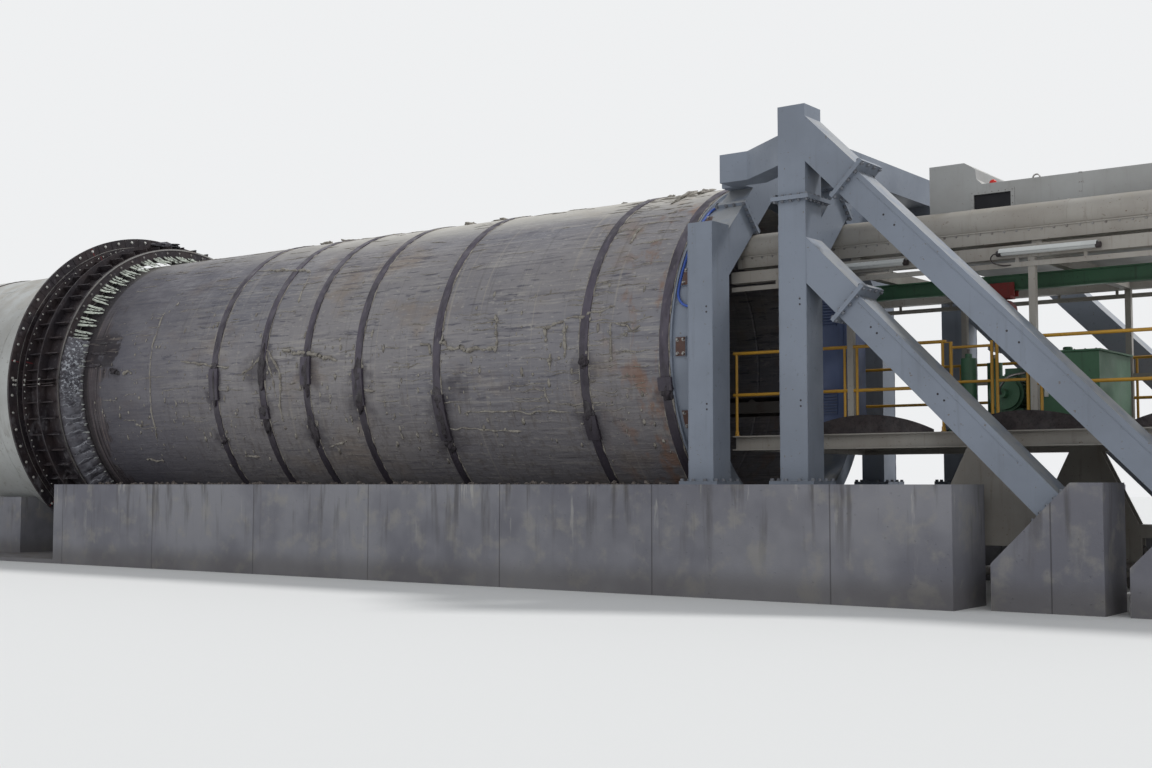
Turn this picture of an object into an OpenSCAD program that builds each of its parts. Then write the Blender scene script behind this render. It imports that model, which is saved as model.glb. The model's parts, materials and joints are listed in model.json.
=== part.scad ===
// Tunnel boring machine at its launch, with the first backup gantry.
// X runs forward to the cutterhead, Y to the walkway side, Z up from the floor.
// The origin is on the floor under the bore axis, at the rear end of the cradle's trough.

/* [Barrel] */
// Outer diameter of the concrete barrel
barrel_d = 5000; // [4600:10:5600]
// Thickness of the barrel wall
barrel_wall = 275; // [200:5:350]
// Rear end of the barrel, ahead of the trough's rear end
barrel_x = 150; // [100:5:200]
// Length of the barrel, to its front end inside the tail skin
barrel_len = 16250; // [14600:50:18200]
// Length of one lining ring between two joints
ring_len = 1366; // [1200:1:1700]
// Width of a hoop band
hoop_w = 140; // [100:5:180]
// How far a hoop band stands proud of the barrel
hoop_t = 14; // [8:1:24]
// How far a band's clamp stands proud of the barrel
clamp_t = 38; // [30:1:60]

/* [Launch seal] */
// How far the wall flange stands out from the barrel
flange_over = 630; // [560:5:700]
// Thickness of the wall flange
flange_t = 50; // [30:1:80]
// Height of the wall flange above the floor
seal_lift = 70; // [50:5:400]
// From the flange's wall face to the tail skin's rear edge
wall_gap = 660; // [600:10:800]
// How far the can's front plate stands out from the barrel
can_over = 330; // [280:5:380]
// Thickness of the can's skin
can_t = 30; // [20:1:40]
// Length of the can from the wall face to the front plate
can_len = 1110; // [900:10:1300]
// Number of cells and wall bolts round the seal
seal_cells = 60; // [40:1:72]
// From the wall flange's edge to its bolt circle
bolt_edge = 70; // [50:1:90]
// Diameter of a wall bolt hole
seal_hole_d = 33; // [20:1:42]
// Number of brush tufts on the barrel
tuft_n = 60; // [40:1:64]
// How far a brush tuft reaches back along the barrel
tuft_len = 400; // [250:10:480]

/* [Shield] */
// How far the tail skin stands out from the barrel
tail_over = 80; // [70:1:100]
// Thickness of the tail skin
tail_t = 50; // [40:1:60]
// How far the tail skin reaches back over the barrel
tail_lap = 1400; // [1200:10:1800]
// Length of the tail skin
tail_len = 3000; // [2600:10:3400]
// Length of the front shield
front_len = 3300; // [2900:10:3700]
// How far the front shield stands out from the tail skin
front_over = 15; // [10:1:30]
// Thickness of the front shield's skin
front_t = 70; // [60:1:90]

/* [Cutterhead] */
// Depth of the cutterhead's body
head_t = 620; // [540:10:700]
// Running gap between the cutterhead and the front shield
head_gap = 40; // [20:1:60]
// Number of arms on the cutterhead
arm_n = 6; // [5:1:7]
// Width of an arm
arm_w = 620; // [540:10:700]
// Radius of the hub
hub_r = 1050; // [920:10:1180]
// Diameter of a disc cutter
disc_d = 432; // [380:2:480]
// Step from one disc cutter to the next along an arm
disc_step = 370; // [340:5:400]

/* [Thrust frame] */
// How far the frame's posts stand outside the barrel
frame_over = 200; // [150:5:300]
// Width of the frame's box sections across the machine
box_y = 420; // [360:5:480]
// Gap from the trough's rear end to the front columns
col_x = 274; // [240:2:320]
// Length of the front columns' section along the machine
col_t = 366; // [320:2:420]
// Distance from the trough's rear end to the main posts
post_x = 1608; // [1420:2:1800]
// Length of the main posts' section along the machine
post_t = 376; // [330:2:420]
// Height of the column tops above the bore axis
col_top = 1570; // [1500:5:1650]
// Height of the main posts' splice above the bore axis
splice_z = 1725; // [1650:5:1800]
// Height of the frame's top above the bore axis
frame_top = 2890; // [2700:5:3200]
// Height of the top beams' underside above the bore axis
beam_low = 2162; // [2050:2:2250]
// Depth of the top beams and the arms
arm_d = 376; // [330:2:420]
// Half length of the front beam, where the arms start
arm_y = 1840; // [1750:5:1900]
// Width of an arm between the two portals
arm_t = 320; // [280:2:360]
// Depth of a knee's section
knee_d = 431; // [380:1:480]
// Top line of the upper struts at the trough's end, above the bore axis
upper_line = 4720; // [4600:5:4800]
// Top line of the lower struts at the trough's end, above the bore axis
lower_line = 3210; // [3100:5:3300]
// Depth of a strut's stub on the post
stub_d = 403; // [370:1:440]
// Depth of a strut
strut_d = 349; // [320:1:368]
// Reach of a stub behind the post
stub_len = 720; // [640:5:800]
// Height of a strut's top corner at its foot
foot_z = 1265; // [1150:5:1400]
// Thickness of a flange plate
plate_t = 25; // [20:1:32]

/* [Cradle] */
// Height of the cradle's walls
wall_h = 1395; // [1250:5:1500]
// How far the cradle reaches past the frame's posts
wall_over = 450; // [400:5:550]
// Length of the rear walls behind the trough
rear_walls = 4000; // [3600:10:4300]

/* [Gantry] */
// Distance from the trough's rear end to the gantry's front
gantry_x = 450; // [400:5:600]
// Length of the gantry
gantry_len = 9600; // [8400:10:10800]
// Clear gap between the gantry and the cradle's rear walls
side_gap = 300; // [250:5:360]
// Height of the gantry's deck
deck_h = 2030; // [1850:5:2250]
// Height of the side sills
sill_h = 190; // [160:5:220]
// Width of the side sills
sill_w = 200; // [160:5:240]
// Height of the upper side beams above the deck
beam_up = 2020; // [1850:5:2250]
// Height of the upper side beams' section
beam_h = 150; // [130:5:170]
// Distance between the gantry's posts
post_step = 2340; // [2060:5:2620]
// Side of the square posts
gpost = 80; // [60:5:100]
// Height of the handrail above the deck
rail_h = 1110; // [1000:5:1200]
// Height of the knee rail above the deck
knee_h = 540; // [480:5:600]
// Diameter of the rail tubes
rail_d = 42; // [36:1:50]
// Outer diameter of the air duct
duct_d = 410; // [360:5:460]
// Diameter of the running wheels
wheel_d = 600; // [540:10:640]
// Width of a running wheel
wheel_w = 110; // [90:1:120]
// Diameter of an axle
axle_d = 120; // [105:1:140]
// Distance between the two axles of a bogie
axle_step = 1200; // [1100:10:1300]
// Diameter of the towing pin's hole at the gantry's rear
tow_d = 62; // [50:1:80]

/* [Hidden] */
$fn = 64;
gap = 0.3;                     // seat of one face beside another
fit = 0.1;                     // play of a pin in its bore, on the diameter
barrel_r = barrel_d / 2;
barrel_end = barrel_x + barrel_len;
// Each hoop band: place ahead of the trough's rear end, its clamp's angle above the axis, its clamp's arc
HOOP_X = 0;
HOOP_AT = 1;
HOOP_ARC = 2;
hoops = [[230, -11, 4], [1550, -24, 8], [4260, -19, 16], [5880, -7, 13], [7040, 0, 10],
    [8080, -15, 4], [9260, -3, 12]];
tail_r = barrel_r + tail_over;
tail_x = barrel_end - tail_lap;
shield_x = tail_x + tail_len;
front_r = tail_r + front_over;
face_x = shield_x + front_len; // front edge of the front shield
bulk_x = face_x - 900;         // rear face of the bulkhead
bulk_t = 120;
flange_r = barrel_r + flange_over;
axis_h = flange_r + seal_lift; // height of the bore axis
seal_pcr = flange_r - bolt_edge;
flange_x = tail_x - wall_gap;  // wall face of the flange
can_r = barrel_r + can_over;
can_x = flange_x - can_len;    // front plate's rear face
can_in = can_r - 60 - can_t;
slab_h = seal_lift - gap;
head_x = face_x + head_gap;
head_r = front_r - 15;
mid_r = hub_r + 650;           // ring between the hub and the rim
frame_y = barrel_r + frame_over;
yi = frame_y - box_y;
post_rear = -post_x - post_t;
col_rear = -col_x - col_t;
knee_out = yi + col_top - 50;  // y + height above the axis on a knee's outer line
knee_in = knee_out - knee_d * sqrt(2);
cradle_y = frame_y + wall_over;
channel_y = yi - 80;
gantry_y = channel_y - side_gap;
rail_y = gantry_y - 41;
gx = -gantry_x;
rear_x = gx - gantry_len;
beam_z = deck_h + beam_up;
beam_top = beam_z + beam_h;
duct_y = gantry_y - 360;
duct_z = beam_top + 130 + duct_d / 2;
axle_z = wheel_d / 2;
post_first = gx - 1705;
post_n = floor((gantry_len - 1705 - gpost) / post_step) + 1;
post_xs = [for (i = [0 : post_n - 1]) post_first - i * post_step];
bogie_xs = [gx - 3450, rear_x + 1550];
wheel_xs = [for (b = bogie_xs, s = [1, -1]) b + s * axle_step / 2];
gate_front_x = post_xs[1] + 1015;   // hinge lines of the two gate leaves
gate_rear_x = post_xs[1] + 75;
rail_end_x = gate_front_x + 60;
rail_inset = 45;               // from a rail's end to its stanchion
leaf_z = 120;
leaf_h = 950;
leaf_front_w = 490;
leaf_rear_w = 350;
leaf_pin = 20;                 // diameter of a gate's hinge pin
house_y = gantry_y - 600;      // near face of the panel housing
house_x = [rear_x + 450, gx - 2550];
house_top = deck_h + 3070;
cab_x = gx - 1500;             // rear face of the cabinet's body
cab_y = [gantry_y - 800, gantry_y - 250];
cab_h = 1900;
door_pin = 16;                 // diameter of the cabinet door's hinge pins
crane_y = 500;
crane_h = 200;
hoist_x = gx - 3150;

concrete = [0.55, 0.53, 0.50];
frame_paint = [0.56, 0.61, 0.66];
cream = [0.80, 0.78, 0.70];
dark = [0.16, 0.14, 0.14];
yellow = [0.90, 0.65, 0.12];
steel = [0.45, 0.46, 0.48];
red = [0.55, 0.10, 0.08];
green = [0.15, 0.38, 0.22];

// A box from one corner to the opposite one
module block(a, b) {
    translate(a) cube(b - a);
}

// A box on both sides of the machine, given for the +Y side
module pair(a, b) {
    block(a, b);
    mirror([0, 1, 0]) block(a, b);
}

module both() {
    children();
    mirror([0, 1, 0]) children();
}

// A disc or tube along X about the bore axis
module ring_x(x0, x1, ro, ri) {
    translate([x0, 0, axis_h]) rotate([0, 90, 0]) linear_extrude(x1 - x0) difference() {
        circle(ro);
        circle(ri);
    }
}

module drum_x(x0, x1, r) {
    translate([x0, 0, axis_h]) rotate([0, 90, 0]) cylinder(h = x1 - x0, r = r);
}

// A revolved body about the bore axis, drawn as (radius, distance ahead of x0)
module turned_x(x0) {
    translate([x0, 0, axis_h]) rotate([0, 90, 0]) rotate_extrude() children();
}

// A plate standing across the machine, drawn as (y, z), from x0 forward
module across(x0, t) {
    translate([x0, 0, 0]) rotate([90, 0, 90]) linear_extrude(t) children();
}

// A plate standing along the machine, drawn as (x, z), from y0 to the +Y side
module along(y0, t) {
    translate([0, y0 + t, 0]) rotate([90, 0, 0]) linear_extrude(t) children();
}

// Turned about the bore axis by an angle from upright
module turned(a) {
    translate([0, 0, axis_h]) rotate([a, 0, 0]) children();
}

// Concrete trough with two rear walls that carry the thrust frame
module cradle() color(concrete)
    difference() {
        union() {
            block([0, -cradle_y, 0], [can_x - tuft_len - 60, cradle_y, wall_h]);
            block([-600, -cradle_y, 0], [face_x - 800, cradle_y, slab_h]);
            pair([-rear_walls, channel_y, 0], [0, cradle_y, wall_h]);
        }
        drum_x(-10, can_x, barrel_r + gap);
        for (h = hoops) {
            ring_x(h[HOOP_X] - hoop_w / 2 - 20, h[HOOP_X] + hoop_w / 2 + 20,
                barrel_r + hoop_t + gap, barrel_r - 50);
            hoop_clamp(h, 20);
        }
    }

module shield_saddles() color(concrete)
    difference() {
        for (x = [tail_x + 700, shield_x + 800])
            block([x, -1900, slab_h], [x + 1100, 1900, 1150]);
        drum_x(tail_x, shield_x, tail_r + gap);
        drum_x(shield_x, face_x, front_r + gap);
    }

// Lining rings with a sunk joint between each two
module barrel() color(concrete)
    turned_x(barrel_x) difference() {
        translate([barrel_r - barrel_wall, 0]) square([barrel_wall, barrel_len]);
        for (i = [1 : floor((barrel_len - 100) / ring_len)])
            translate([0, i * ring_len]) {
                translate([barrel_r - barrel_wall, 0]) polygon([[-1, -25], [15, 0], [-1, 25]]);
                translate([barrel_r, 0]) polygon([[1, -7], [-5, 0], [1, 7]]);
            }
    }

// The clamp that closes a hoop band on both sides, grown by room to cut its place
module hoop_clamp(h, room) {
    w = hoop_w / 2 + 35 + room;
    half = h[HOOP_ARC] / 2 + (room > 0 ? 1 : 0);
    both() translate([h[HOOP_X] - w, 0, axis_h]) rotate([0, 90, 0]) rotate([0, 0, 90 + h[HOOP_AT] - half])
        rotate_extrude(angle = 2 * half)
            translate([barrel_r + hoop_t / 2 - room, 0]) square([clamp_t + 2 * room, 2 * w]);
}

module hoop_bands() color(dark)
    for (h = hoops) {
        ring_x(h[HOOP_X] - hoop_w / 2, h[HOOP_X] + hoop_w / 2, barrel_r + hoop_t, barrel_r + gap / 3);
        hoop_clamp(h, 0);
    }

// Can of the launch seal: skin, cell ribs, stiffening rings and wall flange
module seal_can() color(dark) {
    translate([can_x + 40, 0, axis_h]) rotate([0, 90, 0]) linear_extrude(can_len - 40 - flange_t)
        difference() {
            union() {
                circle(can_r - 60);
                for (i = [0 : seal_cells - 1])
                    rotate(i * 360 / seal_cells)
                        translate([can_r - 80, -9]) square([140, 18]);
            }
            circle(can_in);
        }
    ring_x(can_x + 420, can_x + 450, can_r + 120, can_in);
    ring_x(flange_x - flange_t - 180, flange_x - flange_t - 150, can_r + 120, can_in);
    difference() {
        ring_x(flange_x - flange_t, flange_x, flange_r, can_in);
        for (i = [0 : seal_cells - 1])
            turned((i + 0.5) * 360 / seal_cells)
                translate([flange_x - flange_t - 1, seal_pcr, 0]) rotate([0, 90, 0])
                    cylinder(h = flange_t + 2, d = seal_hole_d);
    }
}

module seal_front_plate() color(dark)
    ring_x(can_x, can_x + 40, can_r, barrel_r + 80);

// Brush tufts that lie from the front plate back on the barrel
module seal_brushes() color([0.72, 0.76, 0.74])
    for (i = [0 : tuft_n - 1])
        turned((i + 0.5) * 360 / tuft_n) translate([0, 85, 0]) rotate([90, 0, 0])
            linear_extrude(170)
                polygon([[can_x - gap, barrel_r + 4], [can_x - gap, barrel_r + 170],
                    [can_x - tuft_len, barrel_r + 30], [can_x - tuft_len, barrel_r + 4]]);

module tail_shield() color(steel)
    ring_x(tail_x, shield_x, tail_r, tail_r - tail_t);

// Wire brush seals between the tail skin and the barrel
module tail_brushes() color(steel)
    for (i = [0 : 2])
        ring_x(tail_x + 20 + i * 350, tail_x + 70 + i * 350, tail_r - tail_t - gap, barrel_r + gap);

// Skin of the front shield with its bevelled cutting edge
module front_shield() color(steel)
    turned_x(shield_x)
        polygon([[front_r - front_t, 0], [front_r - front_t, front_len - 140],
            [front_r - 20, front_len], [front_r, front_len], [front_r, 0]]);

module shield_bulkhead() color(steel)
    difference() {
        ring_x(bulk_x, bulk_x + bulk_t, front_r - front_t - gap, hub_r + fit / 2);
        for (a = [60, 180, 300])
            turned(a) translate([bulk_x - 1, 0, 1750]) rotate([0, 90, 0])
                cylinder(h = bulk_t + 2, d = 600);
    }

module drive_block() color(steel)
    ring_x(bulk_x - 1200, bulk_x, hub_r + 450, hub_r - 550);

// A disc cutter's place on an arm: pocket walls stand either side of the disc's hub
module disc_places() {
    for (i = [0 : arm_n - 1], k = [0 : 3])
        turned(i * 360 / arm_n)
            translate([head_x + head_t - 60, k % 2 == 0 ? -130 : 130, head_r - 290 - k * disc_step])
                children();
}

// Cutterhead body: bevelled arms, hub, rim and middle ring round the muck openings
module cutterhead() color([0.50, 0.47, 0.42])
    difference() {
        union() {
            for (i = [0 : arm_n - 1])
                turned(i * 360 / arm_n) linear_extrude(head_r - 60)
                    polygon([[head_x, -arm_w / 2], [head_x + head_t - 150, -arm_w / 2],
                        [head_x + head_t, -arm_w / 2 + 70], [head_x + head_t, arm_w / 2 - 70],
                        [head_x + head_t - 150, arm_w / 2], [head_x, arm_w / 2]]);
            turned_x(head_x)
                polygon([[head_r - 90, 0], [head_r, 0], [head_r, head_t - 340],
                    [head_r - 60, head_t - 200], [head_r - 90, head_t - 200]]);
            ring_x(head_x + 120, head_x + head_t - 200, mid_r, mid_r - 250);
            turned_x(head_x)
                polygon([[0, 0], [hub_r, 0], [hub_r, head_t - 100], [hub_r - 200, head_t + 30],
                    [0, head_t + 30]]);
        }
        drum_x(head_x - 10, head_x + 200, hub_r - 200);
        disc_places() block([-disc_d / 2 - 30, -90, -disc_d / 2 - 15], [200, 90, disc_d / 2 + 15]);
    }

// Rotating hub between the main drive and the cutterhead
module head_hub() color(steel)
    ring_x(bulk_x + 1, head_x - gap, hub_r, hub_r - 200);

module disc_cutters() color([0.30, 0.30, 0.32])
    disc_places() rotate([90, 0, 0]) rotate_extrude()
        polygon([[0, -90 + gap], [95, -90 + gap], [95, -45], [150, -40], [disc_d / 2, -9],
            [disc_d / 2, 9], [150, 40], [95, 45], [95, 90 - gap], [0, 90 - gap]]);

module scrapers() color([0.38, 0.36, 0.34])
    for (i = [0 : arm_n - 1], s = [-1, 1], k = [0 : 4])
        turned(i * 360 / arm_n)
            translate([head_x + head_t - 195, s * (arm_w / 2 + gap), hub_r + 20 + k * 260])
                linear_extrude(200)
                    polygon([[0, 0], [110, 0], [200, s * 60], [40, s * 60]]);

// Ring that carries the barrel's thrust to the columns, with bolted plates on its face
module bearing_ring() color(frame_paint) {
    turned_x(-col_x)
        polygon([[barrel_r - barrel_wall + 15, 0], [barrel_r - 50, 0], [barrel_r - 50, 30],
            [barrel_r - 50, col_x + barrel_x - 30], [barrel_r - 6, col_x + barrel_x - 30],
            [barrel_r - 6, col_x + barrel_x], [barrel_r - barrel_wall + 15, col_x + barrel_x]]);
    for (i = [0 : 15])
        turned(i * 22.5)
            block([-90, -130, barrel_r - 60], [70, 130, barrel_r - 28]);
}

// Hose along the bearing ring: an arc, a bend at each end and a stub into the frame
module blue_hose() color([0.10, 0.22, 0.60]) {
    hose_r = 18;
    bend = 250;
    run_r = barrel_r - 50 + hose_r + gap;
    x_run = barrel_x - 30 - hose_r - 4;
    a0 = 18;
    a1 = 50;
    translate([x_run, 0, axis_h]) rotate([0, 90, 0]) rotate([0, 0, 90 + a0])
        rotate_extrude(angle = a1 - a0) translate([run_r, 0]) circle(hose_r);
    for (e = [[a0, -1], [a1, 1]])
        translate([x_run, 0, axis_h]) rotate([e[0], 0, 0]) translate([0, run_r, 0]) {
            translate([-bend, 0, 0]) rotate([90, 0, 0]) rotate([0, 0, e[1] > 0 ? 0 : -90])
                rotate_extrude(angle = 90) translate([bend, 0]) circle(hose_r - 0.5);
            translate([-col_x - x_run, 0, e[1] * bend]) rotate([0, 90, 0])
                cylinder(h = col_x + x_run - bend, r = hose_r - 1);
            translate([-col_x - x_run, 0, e[1] * bend]) rotate([0, 90, 0])
                cylinder(h = 40, r = hose_r + 10);
        }
}

// One knee between a column and the top beam, drawn as (y, height above the axis):
// half -1 is below its flange, half 1 is above it
module knee(half, shift) {
    u = (yi + (knee_out + knee_in) / 2) / 2;
    intersection() {
        polygon([[yi, knee_in - yi], [yi, knee_out - yi], [knee_out - beam_low, beam_low],
            [knee_in - beam_low, beam_low]]);
        polygon(half < 0
            ? [[shift, 0], [4000 + shift, 4000], [9000, 0]]
            : [[shift, 0], [4000 + shift, 4000], [0, 9000]]);
    }
}

// Flange plate of a knee's half, lying along the line y = height + shift
module knee_flange(half, shift) {
    mid = (knee_out + knee_in) / 4;
    translate([mid + shift / 2, mid - shift / 2]) rotate(45)
        translate([-knee_d / 2 - 50, half < 0 ? -plate_t : 0]) square([knee_d + 100, plate_t]);
}

// A knee's half with its flange, on both sides, between x0 and x0 + t, the flange wider in front by lip
module knees(half, shift, x0, t, lip) {
    both() translate([0, 0, axis_h]) {
        across(x0, t) knee(half, shift);
        across(x0 - 50, t + 50 + lip) knee_flange(half, shift);
    }
}

module front_columns() color(frame_paint) {
    pair([col_rear, yi, wall_h], [-col_x, frame_y, axis_h + col_top]);
    pair([col_rear - 100, yi - 80, wall_h], [-col_x + 100, frame_y + 80, wall_h + 40]);
    knees(-1, 0, col_rear, col_t, 0);
    block([col_rear, -channel_y, axis_h - beam_low - arm_d], [-col_x, channel_y, axis_h - beam_low]);
}

module front_arch() color(frame_paint) {
    knees(1, 0, col_rear, col_t, 0);
    block([col_rear, -arm_y, axis_h + beam_low], [-col_x, arm_y, axis_h + beam_low + arm_d]);
}

// Posts in two lengths, bolted at a splice, with the knees' lower halves
module main_posts() color(frame_paint) {
    z = axis_h + splice_z;
    pair([post_rear, yi, wall_h], [-post_x, frame_y, z]);
    pair([post_rear - 120, yi - 80, wall_h], [-post_x + 120, frame_y + 80, wall_h + 40]);
    pair([post_rear - 70, yi - 130, z - plate_t], [-post_x + 70, frame_y + 70, z]);
    pair([post_rear, yi, z + gap], [-post_x, frame_y, axis_h + frame_top]);
    pair([post_rear - 70, yi - 130, z + gap], [-post_x + 70, frame_y + 70, z + gap + plate_t]);
}

module post_arch() color(frame_paint) {
    difference() {
        union() {
            knees(-1, -100, post_rear, post_t, 50);
            knees(1, -100, post_rear, post_t, 50);
        }
        pair([post_rear - 75, yi - 131, axis_h + splice_z - plate_t - 1],
            [-post_x + 75, frame_y, axis_h + splice_z + plate_t + 1]);
    }
    block([post_rear, -yi, axis_h + beam_low], [-post_x, yi, axis_h + beam_low + arm_d]);
}

// Arms from the front beam's ends to the posts, bent in plan, drawn as (x, y)
module thrust_arms() color(frame_paint) {
    bend_x = col_rear - 215;
    y_out = frame_y - 10;
    slope = (y_out - arm_y - arm_t) / (post_x + bend_x);
    y_in = y_out - arm_t * sqrt(1 + slope * slope);
    both() translate([0, 0, axis_h + beam_low]) linear_extrude(arm_d)
        polygon([[col_rear + 205, arm_y], [col_rear + 205, arm_y + arm_t], [bend_x, arm_y + arm_t],
            [-post_x, y_out], [-post_x, y_in], [-post_x + (y_in - arm_y) / slope, arm_y]]);
}

// A point on a strut's side view, from x + height = s and height - x = c
function strut_point(s, c) = [(s - c) / 2, (s + c) / 2];

// Plate across a strut between the lines c0 and c1, from s to s + 2 * t / sqrt(2)
module strut_plate(s, c0, c1, t) {
    polygon([strut_point(s, c0), strut_point(s, c1), strut_point(s + t * sqrt(2), c1),
        strut_point(s + t * sqrt(2), c0)]);
}

// Strut with its stub on the post, both flanged, falling at 45 degrees from the line c
module strut(c) {
    low = c - stub_d * sqrt(2);
    top = low + strut_d * sqrt(2);
    s0 = 2 * (post_rear - stub_len) + c;
    s1 = 2 * (foot_z - axis_h) - top;
    both() translate([0, 0, axis_h]) {
        along(yi, box_y) {
            polygon([[post_rear, post_rear + low], [post_rear, post_rear + c],
                strut_point(s0, c), strut_point(s0, low)]);
            polygon([strut_point(s0 - 1, low), strut_point(s0 - 1, top),
                strut_point(s1, top), strut_point(s1, low)]);
        }
        along(yi - 70, box_y + 140) {
            strut_plate(s0, low - 120, c + 120, plate_t);
            strut_plate(s0 - 1 - plate_t * sqrt(2), low - 120, top + 200, plate_t);
            strut_plate(s1, low - 120, top + 120, plate_t);
        }
    }
}

module upper_struts() color(frame_paint) strut(upper_line);
module lower_struts() color(frame_paint) strut(lower_line);

// Concrete foot with its sloped face square to the strut that stands on it
module strut_foot(c) {
    low = c - stub_d * sqrt(2);
    top = low + strut_d * sqrt(2);
    s = 2 * (foot_z - axis_h) - top;
    a = strut_point(s, top + 300);
    b = strut_point(s, low - 1000);
    both() along(yi - 170, box_y + 340)
        polygon([[a[0], a[1] + axis_h], [b[0], b[1] + axis_h], [b[0], 0], [a[0] - 350, 0],
            [a[0] - 350, a[1] + axis_h]]);
}

module strut_feet() color(concrete) {
    strut_foot(upper_line);
    strut_foot(lower_line);
}

// Sills as rolled channels, end and middle cross members, and the towing lug
module gantry_sills() color(cream) {
    both() across(rear_x, gantry_len) difference() {
        translate([gantry_y - sill_w, deck_h - sill_h]) square([sill_w, sill_h]);
        translate([gantry_y - sill_w + 110, deck_h - sill_h + 16]) square([sill_w, sill_h - 32]);
    }
    for (x = [gx - 160, (gx + rear_x) / 2 - 650, rear_x])
        block([x, sill_w - gantry_y, deck_h - sill_h], [x + 160, gantry_y - sill_w, deck_h - 30]);
    difference() {
        block([rear_x - 220, -130, deck_h - 130], [rear_x, 130, deck_h - 90]);
        translate([rear_x - 120, 0, 0]) cylinder(h = 2 * deck_h, d = tow_d);
    }
}

module gantry_deck() color(steel)
    block([rear_x, sill_w - gantry_y, deck_h - 30], [gx, gantry_y - sill_w, deck_h]);

// Square posts on foot plates, with a rail between them on the far side
module gantry_posts() color(cream) {
    for (x = post_xs) {
        pair([x - gpost / 2, gantry_y - 20 - gpost, deck_h], [x + gpost / 2, gantry_y - 20, beam_z]);
        pair([x - 60, gantry_y - 180, deck_h], [x + 60, gantry_y - 17, deck_h + 15]);
    }
    for (i = [0 : post_n - 2])
        mirror([0, 1, 0]) block([post_xs[i + 1] + gpost / 2, gantry_y - gpost, deck_h + 790],
            [post_xs[i] - gpost / 2, gantry_y - 62, deck_h + 870]);
}

module arch_guards() color(dark)
    both() for (i = [0 : floor((gantry_len - 2900) / 2020)])
        along(gantry_y - 16, 12) intersection() {
            translate([gx - 1910 - i * 2020 - 900, deck_h]) square([1800, 230]);
            translate([gx - 1910 - i * 2020, deck_h - 1900]) circle(2130);
        }

// Upper side beams, cross beams over the posts, and the cable rails below the side beams
module upper_beams() color(cream) {
    pair([rear_x, gantry_y - 160, beam_z], [gx, gantry_y, beam_top]);
    for (x = post_xs)
        block([x - 60, 160 - gantry_y, beam_z], [x + 60, gantry_y - 160, beam_top]);
    both() {
        block([rear_x, gantry_y - 20, beam_z - 110], [gx, gantry_y - 8, beam_z - 50]);
        for (x = [rear_x + 100 : 800 : gx - 140])
            block([x, gantry_y - 20, beam_z - 60], [x + 40, gantry_y - 8, beam_z]);
    }
}

// Air duct in a bolted trough that stands on the side beam
module air_duct() color(cream) {
    translate([rear_x, duct_y, duct_z]) rotate([0, 90, 0]) difference() {
        cylinder(h = gantry_len, d = duct_d);
        translate([0, 0, -1]) cylinder(h = gantry_len + 2, d = duct_d - 16);
    }
    difference() {
        block([rear_x, duct_y - 190, duct_z - duct_d / 2 - 60], [gx, duct_y + 190, duct_z - 110]);
        translate([rear_x - 1, duct_y, duct_z]) rotate([0, 90, 0])
            cylinder(h = gantry_len + 2, d = duct_d + 2 * gap);
    }
    for (x = post_xs)
        block([x - 60, duct_y - 150, beam_top], [x + 60, duct_y + 150, duct_z - duct_d / 2 - 60]);
}

// Sheet housing over the switchgear, with its cowl and the window's recess
module panel_housing() color([0.85, 0.85, 0.83])
    difference() {
        union() {
            block([house_x[0], -gantry_y + 1000, beam_top], [house_x[1], house_y, house_top]);
            along(-300, house_y + 300) polygon([[house_x[1], house_top - 1], [house_x[1], house_top + 290],
                [house_x[1] - 460, house_top + 290], [house_x[1] - 600, house_top + 200],
                [house_x[1] - 615, house_top + 70], [house_x[1] - 690, house_top - 1]]);
        }
        window_place(gap);
    }

// The window's block, with its own thickness, grown by room
module window_place(room) {
    block([house_x[1] - 1050 - room, house_y - 40 - room, house_top - 340 - room],
        [house_x[1] - 580 + room, house_y + (room > 0 ? 10 : -15), house_top - 130 + room]);
}

module housing_window() color([0.06, 0.06, 0.08]) window_place(0);

module warning_beacon() color([0.8, 0.1, 0.05])
    translate([house_x[1] - 790, house_y - 100, house_top]) {
        cylinder(h = 18, d = 100);
        rotate_extrude() intersection() {
            translate([0, 17]) circle(45);
            square([60, 80]);
        }
    }

// Tube lamps in half-round reflectors on the side beam's outer face
module tube_lamps() color([0.85, 0.85, 0.82])
    for (i = [0 : post_n - 1])
        translate([post_xs[i] - 825, gantry_y + 62, beam_z + 55]) rotate([0, 90, 0]) {
            cylinder(h = 1200, d = 62);
            translate([0, 0, 30]) linear_extrude(1140) difference() {
                circle(58);
                circle(50);
                translate([0, -70]) square([70, 140]);
            }
            for (z = [150, 1000])
                translate([-10, -62 + gap, z]) cube([20, 40, 50]);
        }

// Segment crane's rail, a rolled I beam under the cross beams
module crane_rail() color(green)
    across(rear_x + 300, gantry_len - 1500)
        translate([crane_y, beam_z - crane_h]) union() {
            translate([-60, 0]) square([120, 16]);
            translate([-6, 0]) square([12, crane_h]);
            translate([-60, crane_h - 16]) square([120, 16]);
        }

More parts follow.
